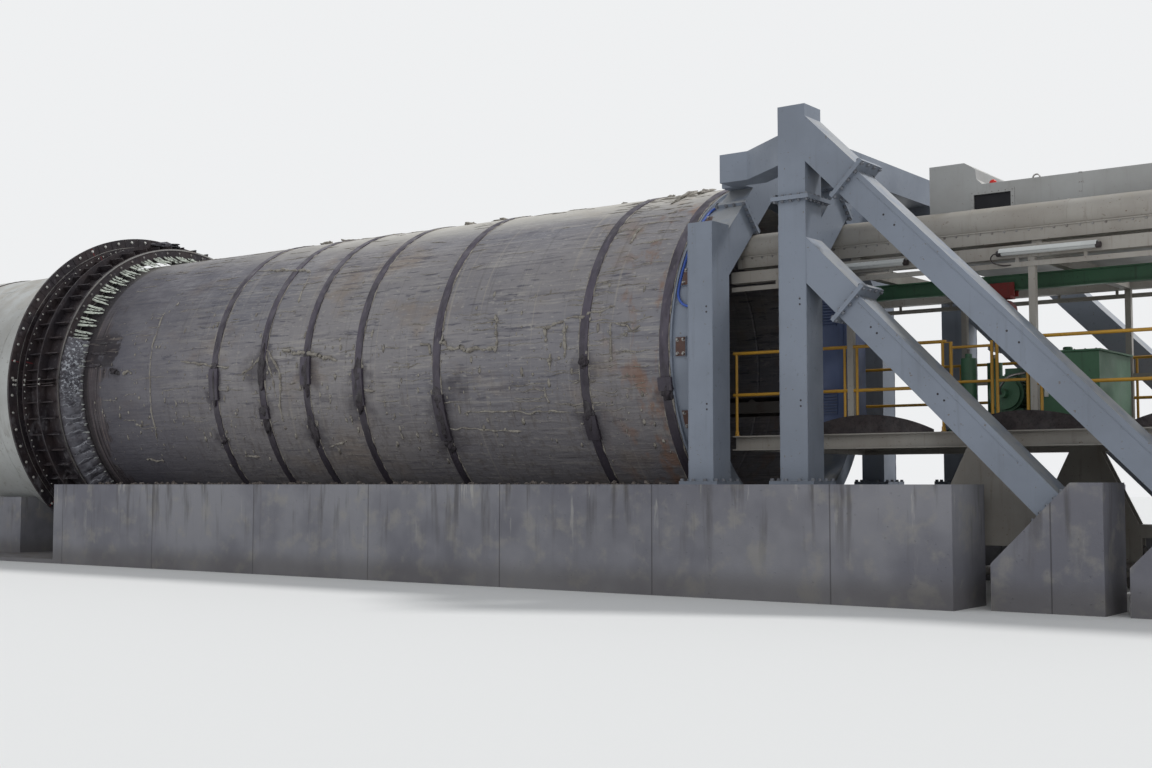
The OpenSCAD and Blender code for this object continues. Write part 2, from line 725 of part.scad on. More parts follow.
// Hoist whose four wheels run on the rail's lower flange
module segment_hoist() color(red) {
    for (x = [hoist_x - 110, hoist_x + 110], s = [-1, 1])
        translate([x, crane_y + s * 38, beam_z - crane_h + 16 + 40 + gap]) rotate([90, 0, 0])
            cylinder(h = 36, r = 40, center = true);
    for (s = [-1, 1])
        translate([0, crane_y + s * 76, 0])
            block([hoist_x - 200, -10, beam_z - crane_h - 70], [hoist_x + 200, 10, beam_z - crane_h + 100]);
    for (x = [hoist_x - 110, hoist_x + 110], s = [-1, 1])
        translate([x, crane_y + s * 61, beam_z - crane_h + 56 + gap]) rotate([90, 0, 0])
            cylinder(h = 30, r = 14, center = true);
    block([hoist_x - 150, crane_y - 86, beam_z - crane_h - 100],
        [hoist_x + 150, crane_y + 86, beam_z - crane_h - 60]);
    translate([hoist_x, crane_y - 200, beam_z - crane_h - 230]) rotate([-90, 0, 0])
        cylinder(h = 400, d = 270);
    translate([hoist_x, crane_y, beam_z - crane_h - 560]) cylinder(h = 220, d = 30);
    translate([hoist_x, crane_y, beam_z - crane_h - 600]) rotate([90, 0, 0]) difference() {
        cylinder(h = 40, r = 75, center = true);
        cylinder(h = 50, r = 40, center = true);
        translate([-90, 0, -30]) cube([60, 60, 60]);
    }
}

module rail_run(x0, x1) {
    for (h = [rail_h - rail_d / 2, knee_h])
        translate([x0, rail_y, deck_h + h]) rotate([0, 90, 0])
            cylinder(h = x1 - x0, d = rail_d);
    for (x = [x0 + rail_inset, x1 - rail_inset])
        translate([x, rail_y, deck_h]) cylinder(h = rail_h - rail_d / 2, d = rail_d - 6);
}

module handrails() color(yellow) {
    half_post = gpost / 2;
    both() {
        rail_run(post_xs[0] + half_post, gx);
        rail_run(rail_end_x, post_xs[0] - half_post);
        for (i = [2 : post_n - 1])
            rail_run(post_xs[i] + half_post, post_xs[i - 1] - half_post);
        rail_run(rear_x, post_xs[post_n - 1] - half_post);
    }
    mirror([0, 1, 0]) rail_run(post_xs[1] + half_post, rail_end_x - 60);
    hinge_lugs(rail_end_x + rail_inset, gate_front_x);
    hinge_lugs(post_xs[1] + half_post, gate_rear_x);
}

// Two lugs from the post face at x0 to the hinge line at x1, each with its pin
module hinge_lugs(x0, x1) {
    s = sign(x1 - x0);
    for (top = [0, 1])
        translate([0, 0, deck_h + leaf_z + (top ? leaf_h + gap : -gap - 12)]) {
            translate([min(x0, x1 + s * 18), rail_y - 12, 0]) cube([abs(x1 - x0) + 18, 24, 12]);
            translate([x1, rail_y, top ? -60 : 11]) cylinder(h = 61, d = leaf_pin);
        }
}

// One gate leaf of width w, hinge line at x0, closing towards +X or -X
module gate_leaf(x0, s, w) {
    difference() {
        translate([x0, rail_y, deck_h + leaf_z]) cylinder(h = leaf_h, d = rail_d);
        translate([x0, rail_y, 0]) cylinder(h = 3 * deck_h, d = leaf_pin + fit);
    }
    for (h = [leaf_z + 60, leaf_z + 470, leaf_z + leaf_h - 60])
        translate([x0 + s * 18, rail_y, deck_h + h]) rotate([0, s * 90, 0])
            cylinder(h = w, d = 34);
    translate([x0 + s * (18 + w), rail_y, deck_h + leaf_z]) cylinder(h = leaf_h, d = 38);
}

module gate_leaf_front() color(yellow) gate_leaf(gate_front_x, -1, leaf_front_w);
module gate_leaf_rear() color(yellow) gate_leaf(gate_rear_x, 1, leaf_rear_w);

// Cabinet body, open to the rear, with the lugs and pins that carry its door
module control_cabinet() color([0.12, 0.17, 0.32]) {
    difference() {
        block([cab_x, cab_y[0], deck_h], [cab_x + 700, cab_y[1], deck_h + cab_h]);
        block([cab_x - 1, cab_y[0] + 30, deck_h + 60],
            [cab_x + 650, cab_y[1] - 30, deck_h + cab_h - 30]);
    }
    for (z = [250, cab_h - 350])
        translate([cab_x - 22, cab_y[0] - 14, deck_h + z]) {
            cylinder(h = 12, r = 14);
            translate([0, -12, 0]) cube([28, 30, 12]);
            cylinder(h = 50, d = door_pin);
        }
}

module cabinet_door() color([0.12, 0.17, 0.32])
    difference() {
        union() {
            block([cab_x - 40, cab_y[0] + 5, deck_h + 8], [cab_x - gap, cab_y[1] - 5, deck_h + cab_h - 8]);
            for (z = [262 + gap, cab_h - 338 + gap])
                translate([cab_x - 22, cab_y[0] - 14, deck_h + z]) {
                    cylinder(h = 100, d = 30);
                    translate([-10, 0, 0]) cube([20, 24, 100]);
                }
            translate([cab_x - 90, cab_y[1] - 90, deck_h + 950]) cube([24, 20, 160]);
            for (z = [960, 1080])
                translate([cab_x - 90, cab_y[1] - 90, deck_h + z]) cube([55, 20, 20]);
        }
        translate([cab_x - 22, cab_y[0] - 14, deck_h - 1])
            cylinder(h = cab_h, d = door_pin + fit);
    }

// Hydraulic power unit: tank on a skid, motor with its pump, and two accumulators
module power_unit() color(green) {
    block([gx - 4500, -700, deck_h], [gx - 2500, 700, deck_h + 90]);
    block([gx - 4400, -650, deck_h + 90], [gx - 3500, 600, deck_h + 1000]);
    translate([gx - 3150, -300, deck_h + 520]) rotate([-90, 0, 0]) {
        cylinder(h = 700, d = 460);
        translate([0, 0, 700]) cylinder(h = 60, d = 400);
        translate([0, 0, 760]) cylinder(h = 120, d = 120);
    }
    block([gx - 3350, -250, deck_h + 90], [gx - 2950, 350, deck_h + 330]);
    for (y = [-450, 450])
        translate([gx - 2680, y, deck_h + 90]) {
            cylinder(h = 900, d = 200);
            translate([0, 0, 899]) cylinder(h = 60, d = 90);
        }
}

// Belt conveyor from the main drive back through the barrel to the gantry
module conveyor_bridge() color(steel) {
    x1 = bulk_x - 1200;
    pair([gx, 400, 2400], [x1, 480, 2560]);
    block([gx, -400, 2440], [x1, 400, 2470]);
    pair([gx - 100, 380, deck_h], [gx, 500, 2600]);
    for (x = [gx + 600 : 2400 : x1 - 400])
        for (s = [-1, 1])
            translate([x, s * 260, 2500]) rotate([s * 25, 0, 0]) rotate([90, 0, 0])
                cylinder(h = 260, d = 110, center = true);
}

// Bogies with forks that hold the axles
module bogie_frames() color(cream) {
    beam = [deck_h - sill_h - 1160, deck_h - sill_h - 980];
    for (x = bogie_xs) {
        pair([x - 950, gantry_y - sill_w, 680], [x + 950, gantry_y, 860]);
        pair([x - 100, gantry_y - sill_w, 860], [x + 100, gantry_y, deck_h - sill_h]);
        both() for (y = [gantry_y - sill_w, gantry_y - 20])
            for (s = [-1, 1])
                along(y, 20) polygon([[x + s * 100, 860], [x + s * 100, deck_h - sill_h],
                    [x + s * 220, deck_h - sill_h], [x + s * 700, 860]]);
    }
    difference() {
        for (x = wheel_xs, y = [gantry_y - 35, gantry_y - sill_w])
            pair([x - 130, y, 150], [x + 130, y + 35, 680]);
        for (x = wheel_xs)
            translate([x, 0, axle_z]) rotate([90, 0, 0])
                cylinder(h = 2 * cradle_y, d = axle_d + fit, center = true);
    }
}

// An axle with its two wheels, each with a rim, a web and a hub
module wheelset(n) {
    translate([wheel_xs[n - 1], 0, axle_z]) rotate([90, 0, 0]) {
        cylinder(h = 2 * gantry_y + 20, d = axle_d, center = true);
        for (s = [-1, 1])
            translate([0, 0, s * (gantry_y - sill_w / 2)]) rotate_extrude() difference() {
                translate([axle_d / 2 - 5, -wheel_w / 2]) square([wheel_d / 2 - axle_d / 2 + 5, wheel_w]);
                for (m = [0, 1])
                    mirror([0, m]) translate([110, 20]) square([wheel_d / 2 - 165, wheel_w]);
            }
    }
}

module wheelset_1() color(steel) wheelset(1);
module wheelset_2() color(steel) wheelset(2);
module wheelset_3() color(steel) wheelset(3);
module wheelset_4() color(steel) wheelset(4);

cradle();
shield_saddles();
barrel();
hoop_bands();
seal_can();
seal_front_plate();
seal_brushes();
tail_shield();
tail_brushes();
front_shield();
shield_bulkhead();
drive_block();
cutterhead();
head_hub();
disc_cutters();
scrapers();
bearing_ring();
blue_hose();
front_columns();
front_arch();
main_posts();
post_arch();
thrust_arms();
upper_struts();
lower_struts();
strut_feet();
gantry_sills();
gantry_posts();
gantry_deck();
arch_guards();
upper_beams();
air_duct();
panel_housing();
housing_window();
warning_beacon();
tube_lamps();
crane_rail();
segment_hoist();
handrails();
gate_leaf_front();
gate_leaf_rear();
control_cabinet();
cabinet_door();
power_unit();
conveyor_bridge();
bogie_frames();
wheelset_1();
wheelset_2();
wheelset_3();
wheelset_4();
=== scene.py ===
# Dresses the tunnel boring machine on its launch trough: finishes for every part of the frame,
# and the small things that the frame leaves out, such as bolts, bristles, grout and weld beads.
import json
import math

import bpy
import numpy as np
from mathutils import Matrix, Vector


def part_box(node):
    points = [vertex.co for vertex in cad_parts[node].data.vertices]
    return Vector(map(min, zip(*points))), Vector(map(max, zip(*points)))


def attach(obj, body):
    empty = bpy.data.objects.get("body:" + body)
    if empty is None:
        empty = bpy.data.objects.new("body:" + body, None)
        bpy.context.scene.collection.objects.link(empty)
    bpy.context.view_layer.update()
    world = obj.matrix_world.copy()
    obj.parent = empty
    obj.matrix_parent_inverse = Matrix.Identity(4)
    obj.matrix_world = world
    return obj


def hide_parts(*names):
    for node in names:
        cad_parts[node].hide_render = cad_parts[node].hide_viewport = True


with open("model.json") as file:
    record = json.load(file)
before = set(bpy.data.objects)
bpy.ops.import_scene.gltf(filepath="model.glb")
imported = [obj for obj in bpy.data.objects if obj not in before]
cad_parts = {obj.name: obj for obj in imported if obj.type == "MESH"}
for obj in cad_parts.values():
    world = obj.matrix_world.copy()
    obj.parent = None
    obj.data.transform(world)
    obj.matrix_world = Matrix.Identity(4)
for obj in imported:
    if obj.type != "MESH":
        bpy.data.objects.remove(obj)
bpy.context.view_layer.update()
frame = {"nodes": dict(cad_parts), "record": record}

barrelLow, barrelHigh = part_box("barrel")
axisZ = (barrelLow.z + barrelHigh.z) / 2     # height of the bore axis
barrelR = (barrelHigh.z - barrelLow.z) / 2
troughZ = 1.395                              # top of the concrete trough
deckLow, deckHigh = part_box("gantry_deck")
deckZ, deckRear, deckFront = deckHigh.z, deckLow.x, deckHigh.x


# Camera, light and floor

scene = bpy.context.scene
cameraPlace = {"at": (-10.65, 18.985, 1.395), "along": (0.5977, -0.7990, 0.0668), "lens": 46.875,
               "sensor": 36.0, "reach": 400.0}
camera = bpy.data.objects.new("camera", bpy.data.cameras.new("camera"))
camera.data.lens = cameraPlace["lens"]
camera.data.sensor_width = cameraPlace["sensor"]
camera.data.clip_end = cameraPlace["reach"]
camera.location = cameraPlace["at"]
camera.rotation_euler = Vector(cameraPlace["along"]).to_track_quat("-Z", "Y").to_euler()
scene.collection.objects.link(camera)
scene.camera = camera
scene.view_settings.view_transform = "Standard"

# Each lamp: name, strength, where its light comes from, its width in degrees
lampRows = (("sun", 1.9, (-0.35, -0.50, 0.80), 9.0), ("fill", 0.45, (-0.5, 0.75, 0.45), 40.0))
for lampName, power, come, width in lampRows:
    lamp = bpy.data.objects.new(lampName, bpy.data.lights.new(lampName, "SUN"))
    lamp.data.energy = power
    lamp.data.angle = math.radians(width)
    lamp.rotation_euler = Vector(come).to_track_quat("Z", "Y").to_euler()
    scene.collection.objects.link(lamp)


# Helpers for shapes. Each gives its points and its faces, and faces are arrays of point numbers

def gridFaces(rows, columns, closeRows=False, closeColumns=False):
    # Four-sided faces between neighbouring points of a grid, going round where a side is closed
    i = np.arange(rows if closeRows else rows - 1)[:, None]
    j = np.arange(columns if closeColumns else columns - 1)[None, :]
    a = i * columns + j
    b = i * columns + (j + 1) % columns
    c = ((i + 1) % rows) * columns + (j + 1) % columns
    d = ((i + 1) % rows) * columns + j
    return np.stack([a, b, c, d], -1).reshape(-1, 4)


def tubeFaces(rings, sides):
    # Faces of a closed tube: the sheet between its rings, and one flat face at each end
    return [gridFaces(rings, sides, closeColumns=True), np.arange(sides)[None, ::-1],
            (rings - 1) * sides + np.arange(sides)[None]]


def repeated(faces, count, size):
    # The faces of one shape, numbered on for each of its copies of size points
    start = np.arange(count)[:, None, None] * size
    return [(start + f).reshape(-1, f.shape[1]) for f in faces]


def joined(shapes):
    # Many shapes as one: their points in a row, their faces numbered on
    offsets = np.cumsum([0] + [len(p) for p, f in shapes])
    return np.concatenate([p for p, f in shapes]), [f + o for (p, fs), o in zip(shapes, offsets) for f in fs]


def turnedShape(profile, sides, hollow=False):
    # A profile of radius and height turned about z: each point is radius * (cos, sin) at its height.
    # A hollow one is a ring, whose profile closes on itself
    profile = np.asarray(profile, float)
    turn = np.linspace(0, 2 * np.pi, sides, endpoint=False)
    points = np.stack([profile[:, :1] * np.cos(turn), profile[:, :1] * np.sin(turn),
                       np.repeat(profile[:, 1:], sides, 1)], -1).reshape(-1, 3)
    return points, [gridFaces(len(profile), sides, True, True)] if hollow else tubeFaces(len(profile), sides)


def tubes(paths, radii, sides=6):
    # Round tubes along many paths of equal length: centre + radius * (cos * across + sin * up)
    paths = np.asarray(paths, float)
    count, steps = paths.shape[:2]
    radii = np.broadcast_to(np.asarray(radii, float), (count, steps))
    ahead = np.gradient(paths, axis=1)
    ahead /= np.linalg.norm(ahead, axis=2, keepdims=True) + 1e-12
    guide = np.where(np.abs(ahead[..., :1]) > 0.9, [[[0.0, 0.0, 1.0]]], [[[1.0, 0.0, 0.0]]])
    across = np.cross(ahead, guide)
    across /= np.linalg.norm(across, axis=2, keepdims=True) + 1e-12
    up = np.cross(ahead, across)
    turn = np.linspace(0, 2 * np.pi, sides, endpoint=False)
    ring = np.cos(turn)[:, None] * across[:, :, None] + np.sin(turn)[:, None] * up[:, :, None]
    points = (paths[:, :, None] + radii[:, :, None, None] * ring).reshape(-1, 3)
    return points, repeated(tubeFaces(steps, sides), count, steps * sides)


def stamped(shape, places, ahead):
    # One small shape put at many places, its own z turned to each direction of ahead
    points, faces = shape
    places = np.asarray(places, float).reshape(-1, 3)
    ahead = np.broadcast_to(np.asarray(ahead, float), places.shape)
    ahead = ahead / np.linalg.norm(ahead, axis=1, keepdims=True)
    guide = np.where(np.abs(ahead[:, :1]) > 0.9, [[0.0, 1.0, 0.0]], [[1.0, 0.0, 0.0]])
    across = np.cross(guide, ahead)
    across /= np.linalg.norm(across, axis=1, keepdims=True)
    up = np.cross(ahead, across)
    axes = np.stack([across, up, ahead], 1)
    spread = places[:, None] + np.einsum("pk,nkj->npj", points, axes)
    return spread.reshape(-1, 3), repeated(faces, len(places), len(points))


boxFaces = np.array([[0, 3, 2, 1], [4, 5, 6, 7], [0, 1, 5, 4], [1, 2, 6, 5], [2, 3, 7, 6], [3, 0, 4, 7]])


def bars(lows, highs):
    # Straight bars between low and high corners, each with its eight corners and six faces
    lows, highs = (np.asarray(v, float).reshape(-1, 1, 3) for v in (lows, highs))
    unit = np.array([[0, 0, 0], [1, 0, 0], [1, 1, 0], [0, 1, 0],
                     [0, 0, 1], [1, 0, 1], [1, 1, 1], [0, 1, 1]], float)
    return (lows + unit * (highs - lows)).reshape(-1, 3), repeated([boxFaces], len(lows), 8)


def stripBars(points):
    # Bars given by eight corners each, whose first four lie on the back of the bar
    return points.reshape(-1, 3), repeated([boxFaces[:, ::-1]], points.size // 24, 8)


def ballGrid(rows=14, columns=24):
    # Unit ball as a grid: latitude rows, longitude columns
    lat = np.linspace(-np.pi / 2 + 0.08, np.pi / 2 - 0.08, rows)[:, None]
    lon = np.linspace(0, 2 * np.pi, columns, endpoint=False)[None, :]
    points = np.stack([np.cos(lat) * np.cos(lon), np.cos(lat) * np.sin(lon), np.sin(lat) + 0 * lon], -1)
    return points.reshape(-1, 3), tubeFaces(rows, columns)


def grain(points, size, seed):
    # Smooth unevenness from -1 to 1: the mean of sine waves that run in random directions
    pick = np.random.default_rng(seed)
    runs = pick.normal(size=(10, 3))
    runs /= np.linalg.norm(runs, axis=1, keepdims=True)
    runs *= 2 * np.pi / size * pick.uniform(0.6, 1.7, (10, 1))
    waves = np.sin(np.asarray(points) @ runs.T + pick.uniform(0, 6.28, 10))
    return waves.sum(-1) / 4.0


def aroundBore(x, angle, radius):
    # A place given along the bore, by its angle above the axis on the near side, and by its radius
    x, angle, radius = np.broadcast_arrays(x, np.radians(angle), radius)
    return np.stack([x, radius * np.cos(angle), axisZ + radius * np.sin(angle)], -1)


def circleAcross(centre, radius, angles):
    # Places on an upright circle that faces sideways, by their angles
    turn = np.radians(angles)
    return np.array(centre) + radius * np.stack([np.cos(turn), 0 * turn, np.sin(turn)], 1)


def rim(rows, row, columns, column):
    # Places round a rectangle: those of a row at each row's height, then those of a column at each column
    return np.array([(u, v) for v in rows for u in row] + [(u, v) for u in columns for v in column])


def bothSides(points):
    # Points on one side of the machine and then their mirror images on the other
    return np.concatenate([points, np.asarray(points) * [1, -1, 1]])


def putPiece(name, shapes, look, body="machine", smooth=False, bevel=0.0):
    # Joins shapes into one mesh, gives it the finish of its look and lets it ride on a body
    points, faces = joined(shapes)
    lookSlot, finish = looks[look]
    mesh = bpy.data.meshes.new(name)
    mesh.vertices.add(len(points))
    mesh.vertices.foreach_set("co", points.astype(np.float32).ravel())
    loops = np.concatenate([f.ravel() for f in faces]).astype(np.int32)
    totals = np.concatenate([np.full(len(f), f.shape[1]) for f in faces])
    mesh.loops.add(len(loops))
    mesh.loops.foreach_set("vertex_index", loops)
    mesh.polygons.add(len(totals))
    starts = np.concatenate([[0], np.cumsum(totals)[:-1]]).astype(np.int32)
    mesh.polygons.foreach_set("loop_start", starts)
    mesh.polygons.foreach_set("use_smooth", np.full(len(totals), smooth))
    mesh.update(calc_edges=True)
    mesh.validate()
    piece = bpy.data.objects.new(name, mesh)
    scene.collection.objects.link(piece)
    piece.data.materials.append(finish)
    if bevel:
        edge = piece.modifiers.new("edge", "BEVEL")
        edge.width = bevel
        edge.segments = 2
        edge.limit_method = "ANGLE"
    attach(piece, body)
    print("piece", name, "faces", len(totals))
    return piece


# Helpers for finishes

def tone(color):
    # A screen colour from 0 to 255 as the light values that a shader takes. Four values are taken as they are
    if len(color) == 4:
        return color
    c = np.array(color) / 255
    c = np.where(c <= 0.04045, c / 12.92, ((c + 0.055) / 1.055) ** 2.4)
    return (*map(float, c), 1.0)


def dimmed(color, share):
    return (*(share * c for c in tone(color)[:3]), 1.0)


def addNode(tree, kind, inputs, output=0, **settings):
    # A shader node with its settings, its inputs linked where they are sockets, and one of its outputs
    made = tree.nodes.new("ShaderNode" + kind)
    for key, value in settings.items():
        setattr(made, key, value)
    for key, value in inputs.items():
        if isinstance(value, bpy.types.NodeSocket):
            tree.links.new(value, made.inputs[key])
        elif value is not None:
            made.inputs[key].default_value = value
    return made.outputs[output]


class Finish:
    # One material: each short call adds a pattern to its colour, its gloss or its relief

    def __init__(self, name, color, roughness, metallic=0.0, specular=0.5):
        self.material = bpy.data.materials.new(name)
        self.material.use_nodes = True
        self.tree = self.material.node_tree
        self.inputs = self.tree.nodes["Principled BSDF"].inputs
        self.color = tone(color)
        for key, value in (("Base Color", self.color), ("Roughness", roughness), ("Metallic", metallic),
                           ("Specular IOR Level", specular)):
            self.inputs[key].default_value = value
        self.place = self.tree.nodes.new("ShaderNodeTexCoord").outputs["Object"]
        self.relief = None

    def node(self, kind, inputs, output=0, **settings):
        return addNode(self.tree, kind, inputs, output, **settings)

    def noise(self, size, detail=4, shift=0.0, stretch=(1, 1, 1)):
        # size is the pattern's size in metres, stretch how much longer it is along x, y and z
        place = self.node("Mapping", {"Vector": self.place, "Location": (shift, shift, shift),
                                      "Scale": [1 / (size * s) for s in stretch]})
        return self.node("TexNoise", {"Vector": place, "Scale": 1.0, "Detail": detail, "Roughness": 0.6})

    def between(self, value, low, high, start=0.0, end=1.0):
        # Runs smoothly from start at low to end at high
        return self.node("MapRange", {"Value": value, "From Min": low, "From Max": high,
                                      "To Min": start, "To Max": end}, interpolation_type="SMOOTHSTEP")

    def math(self, how, first, second):
        return self.node("Math", {0: first, 1: second}, operation=how)

    def both(self, first, second):
        return self.math("MULTIPLY", first, second)

    def along(self, axis):
        return self.node("SeparateXYZ", {"Vector": self.place}, output="XYZ".index(axis))

    def facing(self, axis):
        # How far the surface faces up or along an axis, from -1 to 1
        return self.node("SeparateXYZ", {"Vector": self.node("NewGeometry", {}, 1)}, output="XYZ".index(axis))

    def tint(self, mask, color, amount=1.0):
        # Lays a colour over what is there where the mask is 1
        if amount != 1.0:
            mask = self.both(mask, amount)
        self.color = self.node("Mix", {0: mask, 6: self.color, 7: tone(color)}, output=2, data_type="RGBA")

    def cover(self, pattern, low, high, color, amount, within=None):
        # Lays a colour where the pattern runs from low to high, and only within a mask if one is given
        mask = self.between(pattern, low, high)
        self.tint(mask if within is None else self.both(within, mask), color, amount)

    def lift(self, height, depth):
        # Relief by a height from 0 to 1, depth in metres
        self.relief = self.node("Bump", {"Height": height, "Distance": depth, "Strength": 1.0,
                                         "Normal": self.relief})

    def gloss(self, value, low, high):
        rough = self.between(value, 0.3, 0.7, low, high)
        self.tree.links.new(rough, self.inputs["Roughness"])

    def done(self):
        if isinstance(self.color, bpy.types.NodeSocket):
            self.tree.links.new(self.color, self.inputs["Base Color"])
        if self.relief is not None:
            self.tree.links.new(self.relief, self.inputs["Normal"])
        return self.material


# Background and floor: one tone lights the scene, a paler one is seen

backdrop = {"light": (0.93, 0.96, 1.0, 1.0), "strength": 0.56, "seen": (0.86, 0.87, 0.88, 1.0),
            "floor": (0.74, 0.74, 0.73, 1.0), "floorHalf": 150.0}
world = bpy.data.worlds.new("softRoom")
world.use_nodes = True
scene.world = world
sky = world.node_tree
skyLight = sky.nodes["Background"]
skyLight.inputs["Color"].default_value = backdrop["light"]
skyLight.inputs["Strength"].default_value = backdrop["strength"]
rays = sky.nodes.new("ShaderNodeLightPath").outputs
seen = rays["Is Camera Ray"]
for kind in ("Is Glossy Ray", "Is Transmission Ray"):
    seen = addNode(sky, "Math", {0: seen, 1: rays[kind]}, operation="ADD", use_clamp=True)
skySeen = addNode(sky, "Background", {"Color": backdrop["seen"], "Strength": 1.0})
skyMix = addNode(sky, "MixShader", {0: seen, 1: skyLight.outputs[0], 2: skySeen})
sky.links.new(skyMix, sky.nodes["World Output"].inputs["Surface"])

floorMesh = bpy.data.meshes.new("floor")
half = backdrop["floorHalf"]
floorCorners = [(-half, -half, 0), (half, -half, 0), (half, half, 0), (-half, half, 0)]
floorMesh.from_pydata(floorCorners, [], [(0, 1, 2, 3)])
floor = bpy.data.objects.new("floor", floorMesh)
floor.data.materials.append(Finish("paleFloor", backdrop["floor"], 0.9, specular=0.2).done())
scene.collection.objects.link(floor)
print("stage: camera, light and floor are set")


# Finishes of the barrel and the trough

# Dark greasy places round the band knots: x, angle above the axis, radius
smudges = [(9.27, 0, 0.22), (9.29, -8, 0.30), (9.31, -26, 0.22), (8.06, 6, 0.34), (8.2, 2, 0.45),
           (8.08, -15, 0.30), (7.0, 0, 0.42), (7.05, -24, 0.40), (5.86, -3, 0.30), (5.92, -15, 0.42),
           (4.22, -14, 0.42), (4.25, -26, 0.50), (1.54, -4, 0.34), (1.54, -22, 0.42), (0.3, -14, 0.24),
           (11.98, 4, 0.20), (3.95, -9, 0.30), (7.9, 1, 0.30)]


def barrelFinish():
    f = Finish("castConcreteBarrel", (133, 130, 132), 0.8, specular=0.35)
    x, z = f.along("X"), f.along("Z")
    f.cover(f.noise(1.7, 3, 0, (2.5, 1, 1)), 0.38, 0.62, (113, 113, 121), 0.75)
    f.cover(f.noise(0.9, 4, 7.3, (1.5, 1, 1)), 0.55, 0.72, (140, 122, 100), 0.45)
    # long pale and dark streaks left by the casting and the sliding
    areas = f.between(f.noise(0.7, 3, 19.0, (2, 1, 1)), 0.38, 0.62, 0.25, 1.0)
    pale = f.noise(0.045, 5, 3.1, (22, 1, 1))
    f.cover(pale, 0.50, 0.62, (156, 152, 148), 0.62, areas)
    f.cover(f.noise(0.055, 5, 11.0, (14, 1, 1)), 0.53, 0.63, (84, 82, 90), 0.66, areas)
    f.cover(f.noise(0.10, 4, 21.0, (4.5, 1, 0.45)), 0.61, 0.66, (66, 67, 80), 0.66)
    flecks = f.noise(0.045, 4, 33.0, (3, 1, 1))
    f.cover(flecks, 0.60, 0.67, (164, 160, 154), 0.55)
    f.cover(flecks, 0.36, 0.30, (78, 76, 82), 0.50)
    # fine lines round the barrel
    around = f.noise(0.05, 3, 5.0, (1, 60, 60))
    f.cover(around, 0.60, 0.70, (160, 154, 144), 0.40)
    f.cover(around, 0.38, 0.28, (92, 89, 88), 0.35)
    # runs of dirt below mid-height, and painted shade that darkens the lower half
    low = f.between(z, axisZ + 0.3, axisZ - 1.2)
    f.cover(f.noise(0.10, 4, 9.0, (1, 1, 12)), 0.5, 0.68, (88, 82, 78), 0.6, low)
    # painted shade: the lower half of the barrel is darkened
    f.tint(low, (98, 93, 92), 0.45)
    # towards the seal it is darker, partly from damp and partly as painted shadow, and beside the seal dark,
    # brown and scored round
    f.cover(x, 7.5, 12.4, (78, 77, 87), 0.72)
    f.cover(x, 11.2, 12.8, (60, 58, 65), 0.55)
    ragged = f.noise(0.5, 4, 40.0)
    edge = f.math("ADD", x, f.between(ragged, 0.3, 0.7, -0.25, 0.25))
    wet = f.both(f.between(edge, 12.28, 12.50), f.between(z, axisZ + 2.0, axisZ + 0.7))
    ribs = f.noise(0.035, 2, 2.0, (1, 40, 40))
    f.tint(wet, (72, 65, 68), 0.88)
    f.cover(ribs, 0.52, 0.60, (30, 26, 28), 0.92, wet)
    f.cover(ribs, 0.40, 0.34, (122, 110, 102), 0.55, wet)
    # painted shadow: a dark line on the barrel at the foot of the seal's mud
    f.cover(x, 12.74, 12.80, (34, 30, 33), 0.85)
    # a black scraped patch over it, with pale lines along the barrel
    patch = f.both(f.between(edge, 12.0, 12.12), f.between(z, axisZ + 0.26, axisZ + 0.34))
    patch = f.both(patch, f.between(z, axisZ + 1.02, axisZ + 0.80))
    f.cover(ragged, 0.30, 0.42, (36, 31, 36), 0.9, patch)
    f.cover(f.noise(0.05, 3, 44.0, (14, 1, 1)), 0.58, 0.66, (112, 104, 100), 0.6, patch)
    # rust near the rear end, and a pale crown along the top that is partly dust and partly painted sunlight
    f.cover(f.noise(0.28, 5, 30.0, (1, 1, 1.8)), 0.5, 0.66, (128, 92, 66), 0.6, f.between(x, 1.6, 0.5))
    # painted highlight on the top of the barrel, partly pale dust
    f.cover(z, axisZ + 1.9, axisZ + 2.42, (204, 200, 190), 0.78, f.between(x, 11.5, 5.5, 0.25, 1.0))
    # greasy smudges with ragged edges
    ragged = f.node("TexNoise", {"Vector": f.place, "Scale": 5.0, "Detail": 4.0}, output=1)
    swing = f.node("VectorMath", {0: ragged, 1: (0.5, 0.5, 0.5)}, operation="SUBTRACT")
    pushed = f.node("VectorMath", {0: swing, 1: (0.55, 0.55, 0.55), 2: f.place}, operation="MULTIPLY_ADD")
    total = None
    for sx, angle, radius in smudges:
        spot = tuple(map(float, aroundBore(sx, angle, barrelR)))
        away = f.node("VectorMath", {0: pushed, 1: spot}, output=1, operation="DISTANCE")
        mark = f.between(away, radius, 0.25 * radius)
        total = mark if total is None else f.math("MAXIMUM", total, mark)
    f.tint(total, (54, 50, 57), 0.62)
    # relief: board marks along the barrel, lines round it, grit
    f.lift(pale, 0.010)
    f.lift(around, 0.004)
    f.lift(f.noise(0.16, 4, 17.0, (2, 1, 1)), 0.014)
    f.lift(flecks, 0.006)
    f.lift(f.noise(0.02, 2, 1.0), 0.003)
    f.gloss(f.noise(0.35, 3, 14.0, (2, 1, 1)), 0.42, 0.9)
    return f.done()


